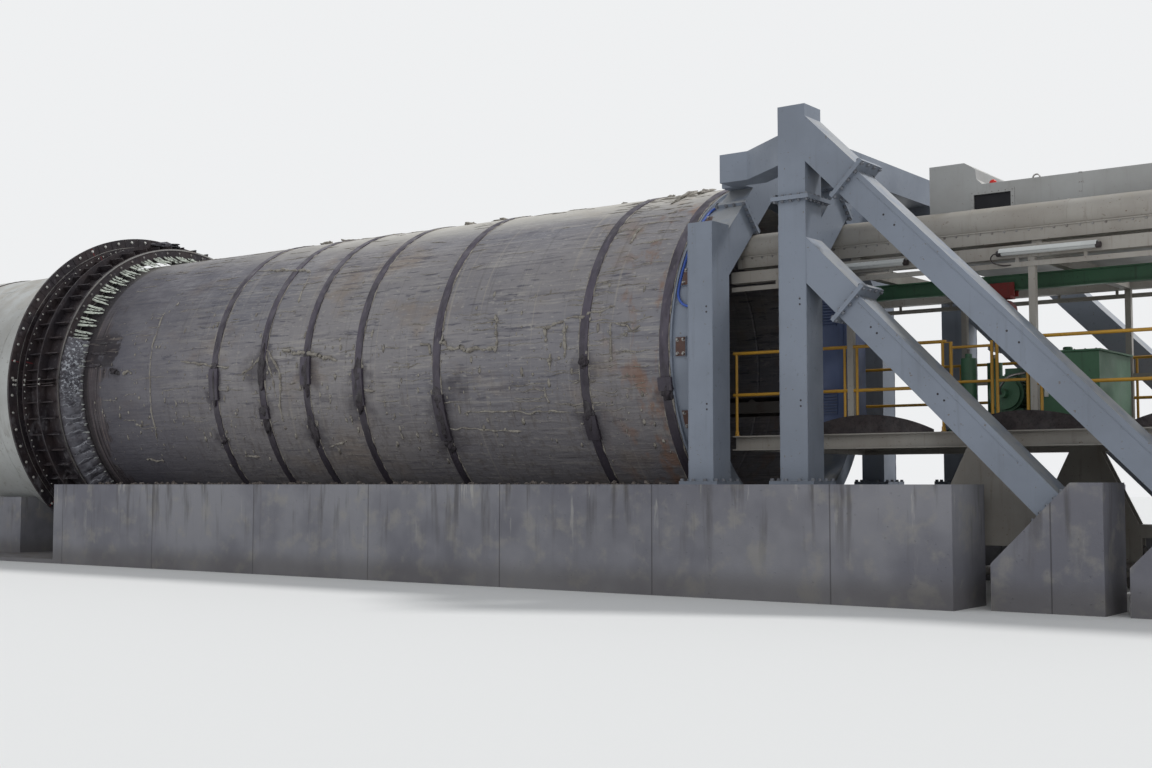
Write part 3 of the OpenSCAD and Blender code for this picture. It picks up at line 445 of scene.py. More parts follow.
def troughFinish():
    # Site concrete: clouds, runs of dirt and lime down the wall, mud on top, joints of its shuttering
    f = Finish("castConcreteTrough", (136, 136, 141), 0.9, specular=0.25)
    z = f.along("Z")
    f.cover(f.noise(1.9), 0.36, 0.64, (106, 106, 114), 0.8)
    f.cover(f.noise(0.35, 5, 4.0), 0.5, 0.68, (150, 147, 140), 0.5)
    high = f.between(z, 0.1, troughZ)
    f.cover(f.noise(0.16, 4, 6.0, (1, 1, 10)), 0.52, 0.70, (78, 75, 74), 0.65, high)
    f.cover(f.noise(0.12, 4, 15.0, (1, 1, 8)), 0.62, 0.72, (176, 174, 168), 0.55, high)
    f.cover(z, 0.45, 0.12, (92, 88, 84), 0.5)
    f.cover(f.noise(0.22, 5, 12.0), 0.45, 0.62, (98, 91, 84), 0.6, f.between(f.facing("Z"), 0.5, 0.9))
    # joints of the shuttering, 2.5 m apart along the wall
    seam = f.between(f.math("PINGPONG", f.along("X"), 1.25), 0.012, 0.0)
    f.tint(seam, (70, 68, 68), 0.6)
    f.lift(seam, -0.008)
    holes = f.node("TexVoronoi", {"Vector": f.place, "Scale": 9.0})
    f.lift(f.between(holes, 0.05, 0.10), 0.006)
    f.lift(f.noise(0.3, 5, 2.0), 0.012)
    f.lift(f.noise(0.018, 2, 8.0), 0.002)
    return f.done()


def paintFinish(name, color, grime, roughness=0.5, wear=None, streak=0.5, dust=None, scale=1.0):
    # Brushed-on paint: cloudy colour, runs of grime down upright faces, dust on top, small chips
    f = Finish(name, color, roughness)
    cloud = f.noise(0.8 * scale, 4, 1.0)
    f.cover(cloud, 0.35, 0.7, grime, 0.35)
    upright = f.between(f.facing("Z"), 0.6, 0.2)
    f.cover(f.noise(0.07 * scale, 4, 5.0, (1, 1, 14)), 0.55, 0.75, grime, streak, upright)
    f.cover(f.noise(0.05 * scale, 5, 9.0), 0.62, 0.70, grime, 0.6)
    if dust:
        f.cover(f.noise(0.2 * scale, 4, 13.0), 0.35, 0.6, dust, 0.6, f.between(f.facing("Z"), 0.3, 0.9))
    if wear:
        chips = f.noise(0.035 * scale, 3, 20.0)
        f.cover(chips, 0.69, 0.72, wear, 0.85)
        f.lift(f.between(chips, 0.72, 0.69), 0.0006)
    f.lift(f.noise(0.012 * scale, 2, 3.0), 0.0008)
    f.gloss(cloud, roughness - 0.12, roughness + 0.15)
    return f.done()


def steelFinish(name, color, rust, roughness=0.45, amount=0.6, metallic=0.85, brushed=(1, 1, 1)):
    # Bare metal: fine marks one way, rust in clouds and in pits
    f = Finish(name, color, roughness, metallic)
    marks = f.noise(0.02, 3, 2.0, brushed)
    f.cover(marks, 0.4, 0.7, dimmed(color, 0.6), 0.5)
    clouds = f.noise(0.3, 5, 6.0)
    f.cover(clouds, 0.46, 0.66, rust, amount)
    pits = f.noise(0.04, 4, 12.0)
    f.cover(pits, 0.58, 0.68, rust, amount)
    f.lift(pits, 0.002)
    f.lift(marks, 0.0006)
    f.gloss(clouds, roughness - 0.1, roughness + 0.3)
    return f.done()


def sealFinish():
    # Near-black plate, rusty and splashed, under grey-white mud in its lower half
    f = Finish("sealPlate", (40, 35, 40), 0.62, 0.3)
    f.cover(f.noise(0.5), 0.4, 0.65, (58, 48, 48), 0.7)
    f.cover(f.noise(0.09, 5, 4.0), 0.57, 0.70, (96, 92, 96), 0.5)
    mud = f.noise(0.14, 5, 8.0, (1, 1, 1.6))
    f.cover(mud, 0.54, 0.68, (112, 110, 114), 0.55, f.between(f.along("Z"), axisZ + 0.5, axisZ - 0.9))
    f.lift(mud, 0.012)
    f.lift(f.noise(0.02, 3, 1.0), 0.002)
    f.gloss(mud, 0.4, 0.85)
    return f.done()


def bristleFinish():
    # Pale greased fibre, muddier towards the bottom of the ring
    f = Finish("paleBristle", (206, 212, 200), 0.55)
    f.cover(f.noise(0.014, 3, 0, (8, 1, 1)), 0.50, 0.66, (140, 148, 142), 0.6)
    f.cover(f.noise(0.09, 4, 5.0), 0.5, 0.68, (92, 92, 90), 0.7)
    f.cover(f.along("Z"), axisZ + 1.2, axisZ + 0.4, (130, 130, 132), 0.7)
    f.lift(f.noise(0.008, 3, 2.0, (10, 1, 1)), 0.003)
    return f.done()


def mudFinish(name, color, dark, wet=0.5):
    # Mud, grease or rubber: dark clouds, darker specks, an uneven surface that is glossier where wet
    f = Finish(name, color, 0.8)
    f.cover(f.noise(0.16, 5), 0.42, 0.62, dark, 0.85)
    f.cover(f.noise(0.035, 4, 7.0), 0.5, 0.66, dimmed(dark, 0.45), 0.7)
    f.lift(f.noise(0.06, 5, 3.0), 0.012)
    f.lift(f.noise(0.012, 3, 5.0), 0.003)
    f.gloss(f.noise(0.2, 3, 9.0), wet, 0.9)
    return f.done()


def bandFinish():
    # Dark flat band with pale dust rubbed along it and greasy stretches
    f = Finish("greasyBand", (74, 68, 80), 0.5, specular=0.45)
    f.cover(f.noise(0.5, 4, 0, (0.3, 1, 1)), 0.42, 0.62, (48, 43, 52), 0.8)
    f.cover(f.noise(0.03, 4, 5.0, (1, 5, 5)), 0.6, 0.72, (126, 120, 120), 0.5)
    f.cover(f.along("Z"), axisZ + 0.4, axisZ - 1.0, (38, 33, 38), 0.6)
    f.lift(f.noise(0.05, 4, 2.0, (1, 2, 2)), 0.004)
    f.gloss(f.noise(0.2, 3, 8.0), 0.35, 0.75)
    return f.done()


def deckFinish():
    # Tread plate: short raised bars crossing each other
    f = Finish("treadPlate", (108, 104, 100), 0.55, 0.6)
    f.cover(f.noise(0.4, 5), 0.45, 0.65, (84, 70, 58), 0.7)
    turned = (0, 0, math.radians(45))
    place = f.node("Mapping", {"Vector": f.place, "Rotation": turned, "Scale": (28, 28, 28)})
    wave, cross = (f.node("TexWave", {"Vector": place, "Scale": 1.0, "Distortion": 0.0}, output=1,
                          bands_direction=way) for way in ("X", "Y"))
    f.lift(f.math("MAXIMUM", f.between(wave, 0.86, 0.95), f.between(cross, 0.86, 0.95)), 0.003)
    return f.done()


def glassFinish(name, color, roughness):
    # Smooth glass or lens under a thin film of dust
    f = Finish(name, color, roughness, specular=0.3)
    f.cover(f.noise(0.3, 4, 0, (1, 1, 4)), 0.5, 0.7, (96, 96, 96), 0.12)
    f.gloss(f.noise(0.2, 3, 4.0), roughness, roughness + 0.2)
    return f.done()


packedMud = {"from": -196.0, "to": 19.0, "steps": 760, "across": 24, "lumps": 0.062, "flap": 3.9,
             "front": 13.232, "back": 13.235, "depth": 0.33, "top": 2.79, "drop": 0.284, "inside": 2.5005}


def sealMudFinish():
    # Pale crumbs on dark mud above with painted shade in their hollows, grey flaps with pale edges below, and
    # painted shade beside plate and barrel
    f = Finish("sealMud", (94, 94, 101), 0.8)
    x, y, z = f.along("X"), f.along("Y"), f.along("Z")
    f.cover(f.noise(0.16, 5), 0.42, 0.62, (62, 60, 67), 0.85)
    crumbs = f.noise(0.055, 4, 7.0)
    f.cover(crumbs, 0.53, 0.60, (184, 188, 194), 0.85, f.between(z, axisZ - 0.5, axisZ + 0.1))
    # painted shade in the hollows between the crumbs
    f.cover(crumbs, 0.42, 0.36, (42, 38, 42), 0.8)
    turn = f.both(f.math("ARCTAN2", f.math("SUBTRACT", z, axisZ), y), 180 / math.pi)
    turn = f.math("ADD", turn, f.between(f.noise(0.3, 3, 2.0), 0.3, 0.7, -1.5, 1.5))
    fold = f.math("PINGPONG", turn, 0.5 * packedMud["flap"])
    f.cover(fold, 0.30, 0.05, (166, 168, 174), 0.6, f.between(z, axisZ + 0.1, axisZ - 0.4))
    # painted shade where the mud meets the plate and the barrel
    f.cover(x, 13.11, 13.21, (58, 54, 60), 0.7)
    f.cover(x, 12.96, 12.90, (54, 49, 52), 0.85)
    f.lift(crumbs, 0.012)
    f.lift(f.noise(0.02, 4, 5.0), 0.005)
    f.gloss(f.noise(0.2, 3, 9.0), 0.45, 0.9)
    return f.done()


# Finishes by slot. A row gives name, colour and grime or rust, then the rest in its function's order
finishes = {
    "cradle_concrete": troughFinish(), "barrel_concrete": barrelFinish(), "band_rubber": bandFinish(),
    "seal_steel": sealFinish(), "brush_fibre": bristleFinish(), "deck_steel": deckFinish(),
    "wire_steel": steelFinish("packedWire", (120, 116, 110), (70, 62, 54), brushed=(8, 1, 1)),
}
tables = (
    (paintFinish, {
        "shield_paint": ("shieldPaint", (178, 180, 178), (118, 112, 104), 0.5, (96, 84, 76), 0.5,
                         (150, 142, 130), 1.6),
        "head_paint": ("headPaint", (176, 170, 158), (112, 100, 86), 0.55, (90, 82, 78), 0.6,
                       (140, 128, 110), 1.4),
        "frame_paint": ("framePaint", (126, 134, 147), (102, 107, 115), 0.5, (104, 98, 94), 0.4,
                        (158, 156, 150), 1.5),
        "hose_blue": ("blueHose", (48, 84, 170), (40, 60, 110), 0.42, None, 0.3, None, 0.4),
        # cream and white sheet: their paint's own pale tone, set darker and greyer as painted shade
        "gantry_cream": ("creamPaint", (158, 154, 147), (118, 108, 98), 0.5, (108, 88, 72), 0.5,
                         (152, 146, 134)),
        "panel_white": ("whiteSheet", (162, 163, 162), (136, 133, 128), 0.45, None, 0.35, (182, 178, 170)),
        "unit_green": ("greenPaint", (66, 108, 80), (52, 62, 52), 0.5, (88, 84, 78), 0.5, (104, 104, 92)),
        "motor_red": ("redPaint", (146, 48, 44), (80, 44, 40), 0.5, (88, 80, 74)),
        "rail_yellow": ("yellowPaint", (186, 140, 44), (118, 90, 50), 0.5, (96, 84, 70), 0.4, None, 0.5),
        "cabinet_blue": ("bluePaint", (62, 78, 116), (44, 52, 74), 0.42, None, 0.3, (104, 106, 110))}),
    (steelFinish, {
        "bare_steel": ("bareSteel", (136, 134, 132), (96, 70, 54)),
        "cutter_steel": ("forgedSteel", (104, 104, 108), (86, 66, 54), 0.4, 0.5)}),
    (mudFinish, {"guard_dark": ("rubberSheet", (54, 46, 46), (40, 34, 36), 0.45)}),
    (glassFinish, {
        "window_dark": ("darkWindow", (22, 22, 27), 0.45), "beacon_red": ("redLens", (196, 34, 24), 0.18),
        "lamp_tube": ("lampTube", (196, 198, 196), 0.2)}),
)
for make, table in tables:
    finishes.update({slotName: make(*row) for slotName, row in table.items()})
looks = {slotName: (slotName, finish) for slotName, finish in finishes.items()}

# Looks of the added pieces, each with the slot that it counts to
for slotName, finish in (
        ("bare_steel", steelFinish("brownPlate", (84, 62, 56), (104, 66, 48), 0.6, 0.7, 0.3)),
        ("bare_steel", steelFinish("boltSteel", (150, 148, 146), (104, 84, 70), 0.4, 0.35)),
        # near-white steel: bright steel with a painted glint on the bolt heads; the cutter rings use it too
        ("bare_steel", steelFinish("paleSteelPaintedGlint", (214, 214, 210), (150, 140, 130), 0.3, 0.3)),
        ("frame_paint", paintFinish("paintedBolt", (112, 116, 124), (84, 80, 80), 0.5, (70, 62, 58), 0.5,
                                    None, 0.4)),
        ("barrel_concrete", mudFinish("paleGrout", (150, 145, 136), (120, 114, 107), 0.7)),
        ("band_rubber", mudFinish("darkGrease", (52, 46, 52), (34, 30, 34), 0.3)),
        ("guard_dark", mudFinish("beltRubber", (50, 48, 48), (70, 62, 54), 0.6)),
        ("cradle_concrete", mudFinish("dryRubble", (122, 114, 108), (88, 80, 76), 0.8)),
        ("motor_red", paintFinish("redMarking", (120, 34, 36), (60, 30, 32), 0.6, None, 0.4, None, 0.5)),
        ("seal_steel", sealMudFinish())):
    looks[finish.name] = (slotName, finish)

slotOf = {part["node"]: part["material_slot"] for part in frame["record"]["subparts"]}
for nodeName, cadPart in frame["nodes"].items():
    cadPart.data.materials.clear()
    cadPart.data.materials.append(finishes[slotOf[nodeName]])
print("stage: finishes are on", len(frame["nodes"]), "parts")


# Bolts: a hexagon head with a chamfer on a round washer, its height along z

forward, rearward, up, down = (1, 0, 0), (-1, 0, 0), (0, 0, 1), (0, 0, -1)


def bolts(places, ahead, width):
    points, faces = joined([turnedShape([(0.55, 0.1), (0.55, 0.62), (0.47, 0.72)], 6),
                            turnedShape([(0.86, 0.0), (0.86, 0.11)], 10)])
    return stamped((points * width, faces), places, ahead)


def awayFromBore(places):
    # The direction from the bore axis to each place
    return places * [0, 1, 1] - [0, 0, axisZ]


# Seal: bristles, packed mud, bolts and plate joints

bristles = {"tufts": 60, "locks": 3, "half": 1.64, "front": 13.235, "back": 12.865, "top": 2.672,
            "low": 2.520, "thick": 0.0125, "steps": 9}


def sealBristles():
    # Three fingers a tuft, a few locks a finger. Each lock runs from the front plate back to the barrel:
    # radius = top - drop * t^0.8 and angle = tuft + half * (root * (1 - t) + tip * t), with a small wave
    s = bristles
    pick = np.random.default_rng(41)
    t = np.linspace(0, 1, s["steps"])[None, None, None, :]
    shape = (s["tufts"], 3, s["locks"], 1)
    tuft = (np.arange(s["tufts"]) + 0.5)[:, None, None, None] * 360 / s["tufts"]
    roots = np.array([-1.0, 0.0, 1.0])[None, :, None, None]
    tips = np.array([-0.66, 0.08, 0.66])[None, :, None, None]
    turned = (pick.random((s["tufts"], 1, 1, 1)) < 0.4)
    first, last = np.where(turned, tips, roots), np.where(turned, roots, tips)
    beside = np.linspace(-0.17, 0.17, s["locks"])[None, None, :, None]
    lean = pick.uniform(-0.10, 0.10, shape) + pick.uniform(-0.22, 0.22, (s["tufts"], 3, 1, 1))
    angle = 90 - tuft + s["half"] * (first * (1 - t) + last * t + beside * (1 - 0.4 * t) + lean * t)
    length = pick.uniform(0.80, 1.0, shape) * np.array([1.0, 0.78, 1.0])[None, :, None, None]
    x = s["front"] - (s["front"] - s["back"]) * t * length
    radius = s["top"] - (s["top"] - s["low"]) * (t * length) ** 0.8
    radius = radius + 0.006 * np.sin(t * 9 + lean * 40)
    paths = aroundBore(x, angle, np.maximum(radius, barrelR + 0.014)).reshape(-1, s["steps"], 3)
    slim = np.broadcast_to(np.array([1.0, 0.7, 1.0])[None, :, None], shape[:3]).reshape(-1, 1)
    thick = s["thick"] * slim * pick.uniform(0.75, 1.25, (len(paths), 1)) * (1 - 0.45 * t[0, 0] ** 2)
    return tubes(paths, thick, 5)


bristlePiece = putPiece("sealBristles", [sealBristles()], "brush_fibre", smooth=True)
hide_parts("seal_brushes")


def sealMud():
    # A bank between barrel and plate: a rounded line from the plate's edge to the barrel, pushed out by grain
    s = packedMud
    angle = np.linspace(s["from"], s["to"], s["steps"])[:, None]
    t = np.linspace(0, 1, s["across"])[None, :]
    x = s["front"] - s["depth"] * t ** 0.85
    radius = s["top"] - s["drop"] * t ** 1.35
    crest = np.sin(np.pi * t) ** 0.6
    ends = np.clip((angle - s["from"]) / 12, 0, 1) * np.clip((s["to"] - angle) / 12, 0, 1)
    flat = aroundBore(x, angle, radius)
    crumbs = 0.35 * grain(flat, 0.26, 3) + 0.50 * grain(flat, 0.11, 4) + 0.35 * grain(flat, 0.05, 6)
    fold = np.abs(np.sin(np.radians(180 / s["flap"] * angle + 45 * grain(flat, 0.5, 7)))) ** 0.35
    flaps = 0.3 * grain(flat, 0.3, 3) - 1.0 * (1 - fold) * np.clip(t * 2, 0, 1)
    above = np.clip((angle + 12) / 10, 0, 1) + np.clip((-168 - angle) / 10, 0, 1)
    push = (above * crumbs + (1 - above) * flaps) * s["lumps"] * crest
    outer = aroundBore(x - 0.5 * push - 0.01 * crest, angle,
                       radius + (push + 0.02 * crest) * ends - 0.06 * (1 - ends) * crest)
    inner = aroundBore(s["back"] - s["depth"] * t[:, ::-1], angle, s["inside"])
    return np.concatenate([outer, inner], 1).reshape(-1, 3), tubeFaces(s["steps"], 2 * s["across"])


putPiece("sealMud", [sealMud()], "sealMud", smooth=True)

flangeX, ringX, plateX = 14.29, 14.11, 13.23     # rear faces of the seal's wall flange, ring and front plate
hair = 0.0001                                    # keeps two faces from lying in one plane
cells = np.arange(60)
cell = 6.0                                       # degrees from one cell of the can to the next
cellPairs = ((cells[:, None] + [0.3, 0.7]) * cell).ravel()
# the flange bolts are near-white, partly as a painted glint on their heads
putPiece("sealFlangeBolts", [bolts(aroundBore(flangeX, 90 - (cells + 0.5) * cell, 3.06), rearward, 0.031),
                             bolts(aroundBore(ringX, cellPairs, 2.915), rearward, 0.018)], "paleSteelPaintedGlint")
plateBolts = aroundBore(plateX, (cells + 0.5) * cell, 2.745)
putPiece("sealPlateBolts", [bolts(plateBolts, rearward, 0.026)], "boltSteel")


def radialStrips(angles, x, low, high, width, proud):
    # Thin strips that run out along a radius, as closed bars turned to their angle
    angles = np.radians(angles)[:, None]
    along, side = np.array([low, high, high, low]), np.array([-1, -1, 1, 1]) * width / 2
    y = along * np.cos(angles) - side * np.sin(angles)
    z = axisZ + along * np.sin(angles) + side * np.cos(angles)
    back = np.stack([np.full_like(y, x), y, z], -1)
    return stripBars(np.concatenate([back, back - [proud, 0, 0]], 1))


cellAngles = 90 - cells * cell
markAngles = cellAngles[4::9] - 3
seamStrips = radialStrips(cellAngles, flangeX + hair, 2.955, 3.125, 0.010, 0.005)
putPiece("sealSegmentJoints", [seamStrips], "seal_steel")
putPiece("sealRedMarks", [radialStrips(markAngles, flangeX + hair, 2.96, 3.12, 0.016, 0.003),
                          radialStrips(markAngles, ringX - hair, 2.80, 2.94, 0.014, 0.003)], "redMarking")


def ringStrip(x, radius, width, thick, sides=240):
    # A thin raised ring on a face across the bore
    turn = np.linspace(0, 360, sides, endpoint=False)[:, None]
    dx = np.array([0, 0, -thick, -thick])[None]
    dr = np.array([0, width, width, 0])[None]
    return aroundBore(x + dx, turn, radius + dr).reshape(-1, 3), [gridFaces(sides, 4, True, True)]


# Rings as their place along the bore, radius, width and thickness
edgeRings = ((flangeX + hair, 2.952, 0.012, 0.006), (plateX - hair, 2.800, 0.026, 0.008),
             (plateX - hair, 2.585, 0.014, 0.008))
putPiece("sealEdgeRings", [ringStrip(*row) for row in edgeRings], "boltSteel")

# Where the can's halves meet at mid-height: two plates side by side, and bolts in pairs, whose bright heads
# are partly a painted glint
sealJoint = {"sides": (1.5, 178.5), "x": (13.275, 14.108), "low": 2.766, "high": 2.895, "apart": 0.7,
             "half": 0.12, "bolt": 0.029}


def jointPlates(side):
    # A plate is a bar that runs along the bore, its width out along the radius at the joint's angle
    s = sealJoint
    section = [(s["low"], -s["half"]), (s["low"], s["half"]), (s["high"], s["half"]), (s["high"], -s["half"])]
    return stripBars(np.array([[aroundBore(x, angle + turn, r) for x in s["x"] for r, turn in section]
                               for angle in (side - s["apart"], side + s["apart"])]))


putPiece("sealJointPlates", [jointPlates(side) for side in sealJoint["sides"]], "seal_steel")
jointSpots = ((flangeX, 0.8, 2.985), (flangeX, 0.8, 3.035), (ringX, 0.9, 2.925), (13.65, 0.9, 2.925),
              (plateX, 0.8, 2.70), (plateX, 0.8, 2.76))
jointPlaces = [aroundBore(x, side + way * turn, r) for side in sealJoint["sides"] for x, turn, r in jointSpots
               for way in (-1, 1)]
putPiece("sealJointBolts", [bolts(jointPlaces, rearward, sealJoint["bolt"])], "paleSteelPaintedGlint")
print("stage: the launch seal is dressed")


# Barrel: grout beads along the bands, knots, strings, splashes and lumps

bandPlaces = [0.23, 1.55, 4.26, 5.88, 7.04, 8.08, 9.26]
beads = {"half": 0.076, "radius": 0.009, "steps": 420, "from": -45.5, "to": 225.5}


def bandBeads():
    # A bead of grout follows each band edge: its radius and its distance wander with grain
    s = beads
    angle = np.linspace(s["from"], s["to"], s["steps"])[None, :]
    edge = np.array([[x - s["half"], x + s["half"]] for x in bandPlaces]).ravel()[:, None]
    line = aroundBore(edge, angle, barrelR)
    wander = grain(line, 0.5, 11)
    size = s["radius"] * np.clip(0.75 + 0.9 * grain(line, 0.22, 12), 0.12, 1.9)
    paths = aroundBore(edge + 0.006 * wander, angle, barrelR + 0.3 * size)
    return tubes(paths, size, 5)


putPiece("bandBeads", [bandBeads()], "paleGrout", smooth=True)

# Greased lashings on the bands: band number, angle, half length in metres, half width, height
knots = [(6, -3, 0.34, 0.082, 0.050), (6, -25, 0.07, 0.075, 0.038), (6, 4, 0.06, 0.088, 0.048),
         (5, 1, 0.34, 0.085, 0.052), (5, -14, 0.10, 0.100, 0.054), (5, -19, 0.22, 0.082, 0.048),
         (4, -1, 0.36, 0.088, 0.054), (4, -23, 0.26, 0.086, 0.050),
         (3, -2, 0.26, 0.082, 0.050), (3, -10, 0.28, 0.092, 0.056),
         (2, -12, 0.16, 0.086, 0.050), (2, -20, 0.38, 0.096, 0.056), (2, -29, 0.12, 0.088, 0.046),
         (1, -3, 0.10, 0.084, 0.048), (1, -21, 0.26, 0.092, 0.054),
         (0, -13.5, 0.12, 0.088, 0.052)]


def lumpsOnBarrel(table, seed, ball, rough=0.35):
    # Flattened balls on the barrel, given by x, angle and half sizes along, across and outwards,
    # each point pushed by grain so that the outline is ragged
    points, faces = ball
    table = np.asarray(table, float)
    x, angle, half, wide, high = (table[:, i:i + 1] for i in range(5))
    push = 1 + rough * grain(points[None] * 2.2 + table[:, None, :3] * 7.0, 2.0, seed)
    u, v, w = (points[None, :, i] * push for i in range(3))
    turn = angle + np.degrees(half * v / barrelR)
    spread = aroundBore(x + wide * u, turn, barrelR + 0.002 + high * np.maximum(w, -0.15))
    return spread.reshape(-1, 3), repeated([f[:, ::-1] for f in faces], len(table), len(points))


knotTable = [(bandPlaces[band], *row) for band, *row in knots]
farTable = [(x, 180 - angle, *row) for x, angle, *row in knotTable]
knotLumps = lumpsOnBarrel(knotTable + farTable, 5, ballGrid(18, 30), 0.26)
putPiece("bandKnots", [knotLumps], "darkGrease", smooth=True)

# Strings of grout squeezed out on the barrel: points as x and angle above the axis, and a thickness
groutStrings = [
    (0.016, [(10.19, 7.4), (9.91, 6.3), (9.7, 5.8), (9.35, 4.4), (9.2, 3.8), (8.91, 3.3)]),
    (0.018, [(8.89, 48.3), (8.49, 46.4), (8.1, 45.2), (7.87, 44.9), (7.67, 42.8)]),
    (0.012, [(7.64, 41.9), (7.59, 34.8), (7.54, 27.9)]),
    (0.024, [(7.64, 8.2), (7.14, 6.8), (6.71, 4.8), (6.35, 3.0)]),
    (0.018, [(5.76, -7.9), (5.54, -8.6)]),
    (0.014, [(8.02, 9.4), (7.8, 4.6), (7.66, -0.4), (7.61, -6.3), (7.71, -12.0), (7.69, -18.0)]),
    (0.013, [(8.0, 6.0), (7.86, 1.0), (7.8, -5.0), (7.76, -9.0)]),
    (0.013, [(8.61, 0.1), (8.42, 1.9), (8.18, 5.1), (8.11, 9.0)]),
    (0.012, [(8.55, -3.0), (8.5, 0.5), (8.3, 3.0), (8.15, 7.0)]),
    (0.009, [(11.02, 30.0), (11.02, 11.6), (10.98, 0.9), (10.98, -13.9), (11.03, -24.9)]),
    (0.016, [(11.51, -17.4), (11.4, -18.6), (11.33, -18.0)]),
    (0.014, [(11.56, -32.5), (11.3, -33.6), (11.09, -33.9)]),
    (0.015, [(8.9, -32.1), (8.7, -32.0), (8.52, -32.8)]),
    (0.012, [(6.82, -28.8), (6.6, -28.2), (6.37, -26.9)]),
    (0.020, [(11.76, 3.8), (11.62, 4.2), (11.5, 3.0)]),
    (0.022, [(4.2, 6.3), (4.11, 7.0), (4.04, 4.3), (3.91, 3.7), (3.78, 4.3), (3.7, 3.1), (3.57, 3.7),
             (3.2, 3.4), (3.1, 3.8)]),
    (0.016, [(3.2, 15.8), (3.15, 10.8), (3.12, 5.7), (3.13, 1.7)]),
    (0.015, [(2.39, 9.3), (2.24, 9.3), (2.01, 9.7), (1.9, 10.4)]),
    (0.017, [(2.24, 9.1), (2.2, 5.1), (2.21, 3.8)]),
    (0.018, [(2.12, 0.8), (2.13, -1.9), (2.15, -5.0)]),
    (0.017, [(1.89, 10.0), (1.89, 6.1), (1.87, 1.9), (1.89, -1.5)]),
    (0.014, [(1.87, 11.1), (1.65, 11.8), (1.5, 12.6), (1.25, 13.3), (1.09, 14.1)]),
    (0.011, [(1.1, 9.2), (1.1, 2.3), (1.08, -3.1)]),
    (0.014, [(1.04, 8.7), (0.86, 7.8), (0.75, 5.9), (0.61, 7.1)]),
    (0.016, [(1.08, 46.3), (1.11, 44.1), (1.14, 40.9), (1.15, 37.9)]),
    (0.013, [(2.24, -10.2), (2.23, -13.7), (2.2, -15.5)]),
    (0.010, [(4.24, -22.8), (3.49, -23.6), (2.78, -24.8)]),
    (0.010, [(3.83, -17.7), (3.29, -17.3), (2.5, -18.2), (1.86, -19.0)]),
    (0.013, [(4.61, 6.9), (4.43, 5.9), (4.38, 2.8)]),
]


def stringTubes(strings, steps=40, sides=6, scale=1.45):
    # Each polyline is read at equal steps, wandered by grain, and made a tube of uneven thickness
    paths, sizes = [], []
    for thick, table in strings:
        table = np.asarray(table, float)
        across = np.diff(np.radians(table[:, 1])) * barrelR
        reach = np.concatenate([[0], np.cumsum(np.hypot(np.diff(table[:, 0]), across))])
        at = np.linspace(0, reach[-1], steps)
        x, angle = np.interp(at, reach, table[:, 0]), np.interp(at, reach, table[:, 1])
        line = aroundBore(x, angle, barrelR)
        x = x + 0.018 * grain(line, 0.35, 21)
        angle = angle + 0.5 * grain(line, 0.3, 22)
        size = scale * thick * np.clip(0.8 + 0.6 * grain(line, 0.12, 23), 0.3, 1.5)
        size = size * np.clip(4 * np.sin(np.pi * np.linspace(0.02, 0.98, steps)), 0.2, 1)
        paths.append(aroundBore(x, angle, barrelR + 0.35 * size))
        sizes.append(size)
    return tubes(np.array(paths), np.array(sizes), sides)


farStrings = [(thick, [(x, 180 - a + 3) for x, a in table]) for thick, table in groutStrings[::2]]
putPiece("groutStrings", [stringTubes(groutStrings + farStrings)], "paleGrout", smooth=True)

# Short ridges that the casting left along the barrel, thickest near its rear end
castRidges = {"count": 620, "rear": 0.35, "thick": (0.004, 0.009), "long": (0.15, 0.75), "tilt": (-0.5, 0.5),
              "rearX": (0.35, 1.5), "x": (1.6, 12.1), "end": 12.4, "near": (-20, 85), "far": (95, 200)}


def ridgeTable():
    s = castRidges
    pick = np.random.default_rng(77)
    found = []
    for i in range(s["count"]):
        atRear = pick.random() < s["rear"]
        x = pick.uniform(*s["rearX" if atRear else "x"])
        angle = pick.uniform(*s["near" if i % 2 else "far"])
        long, tilt = pick.uniform(*s["long"]), pick.uniform(*s["tilt"])
        found.append((pick.uniform(*s["thick"]), [(x, angle), (min(x + long, s["end"]), angle + tilt)]))
    return found


putPiece("castRidges", [stringTubes(ridgeTable(), 7, 4, 1.0)], "paleGrout", smooth=True)

splashes = {"count": 1500, "small": 0.008, "large": 0.030, "low": -44, "most": -14, "high": 40,
            "x": (0.4, 12.7)}


def splashTable():
    # Splashes at random: mostly small, most of them a little below mid-height, on both sides
    s = splashes
    pick = np.random.default_rng(8)
    x = pick.uniform(*s["x"], s["count"])
    angle = pick.triangular(s["low"], s["most"], s["high"], s["count"])
    side = pick.random(s["count"]) < 0.5
    size = s["small"] + (s["large"] - s["small"]) * pick.random(s["count"]) ** 3
    long = size * pick.uniform(0.8, 2.6, s["count"])
    return np.stack([x, np.where(side, angle, 180 - angle), long, size, 0.45 * size], 1)


putPiece("groutSplashes", [lumpsOnBarrel(splashTable(), 9, ballGrid(4, 7), 0.4)], "paleGrout", smooth=True)

# Lumps as x, angle and half sizes along, across and outwards
clumps = [(12.0, 4.8, 0.045, 0.08, 0.05), (11.9, 4.2, 0.035, 0.05, 0.04), (12.1, 5.6, 0.03, 0.05, 0.03),
          (12.6, 8.0, 0.03, 0.16, 0.015), (12.55, 13.0, 0.02, 0.20, 0.012), (12.5, 17.5, 0.02, 0.22, 0.012)]
putPiece("greaseClumps", [lumpsOnBarrel(clumps, 15, ballGrid(), 0.45)], "darkGrease", smooth=True)
crownLumps = [(0.95, 84, 0.10, 0.06, 0.05), (1.6, 86, 0.08, 0.05, 0.05), (2.5, 88, 0.14, 0.06, 0.05),
              (4.9, 89, 0.30, 0.08, 0.04), (5.6, 86, 0.12, 0.06, 0.05), (8.5, 88, 0.30, 0.09, 0.05),
              (8.9, 84, 0.12, 0.07, 0.05), (0.9, 70, 0.30, 0.05, 0.04), (0.7, 74, 0.20, 0.05, 0.04)]
putPiece("crownLumps", [lumpsOnBarrel(crownLumps, 16, ballGrid(), 0.5)], "paleGrout", smooth=True)

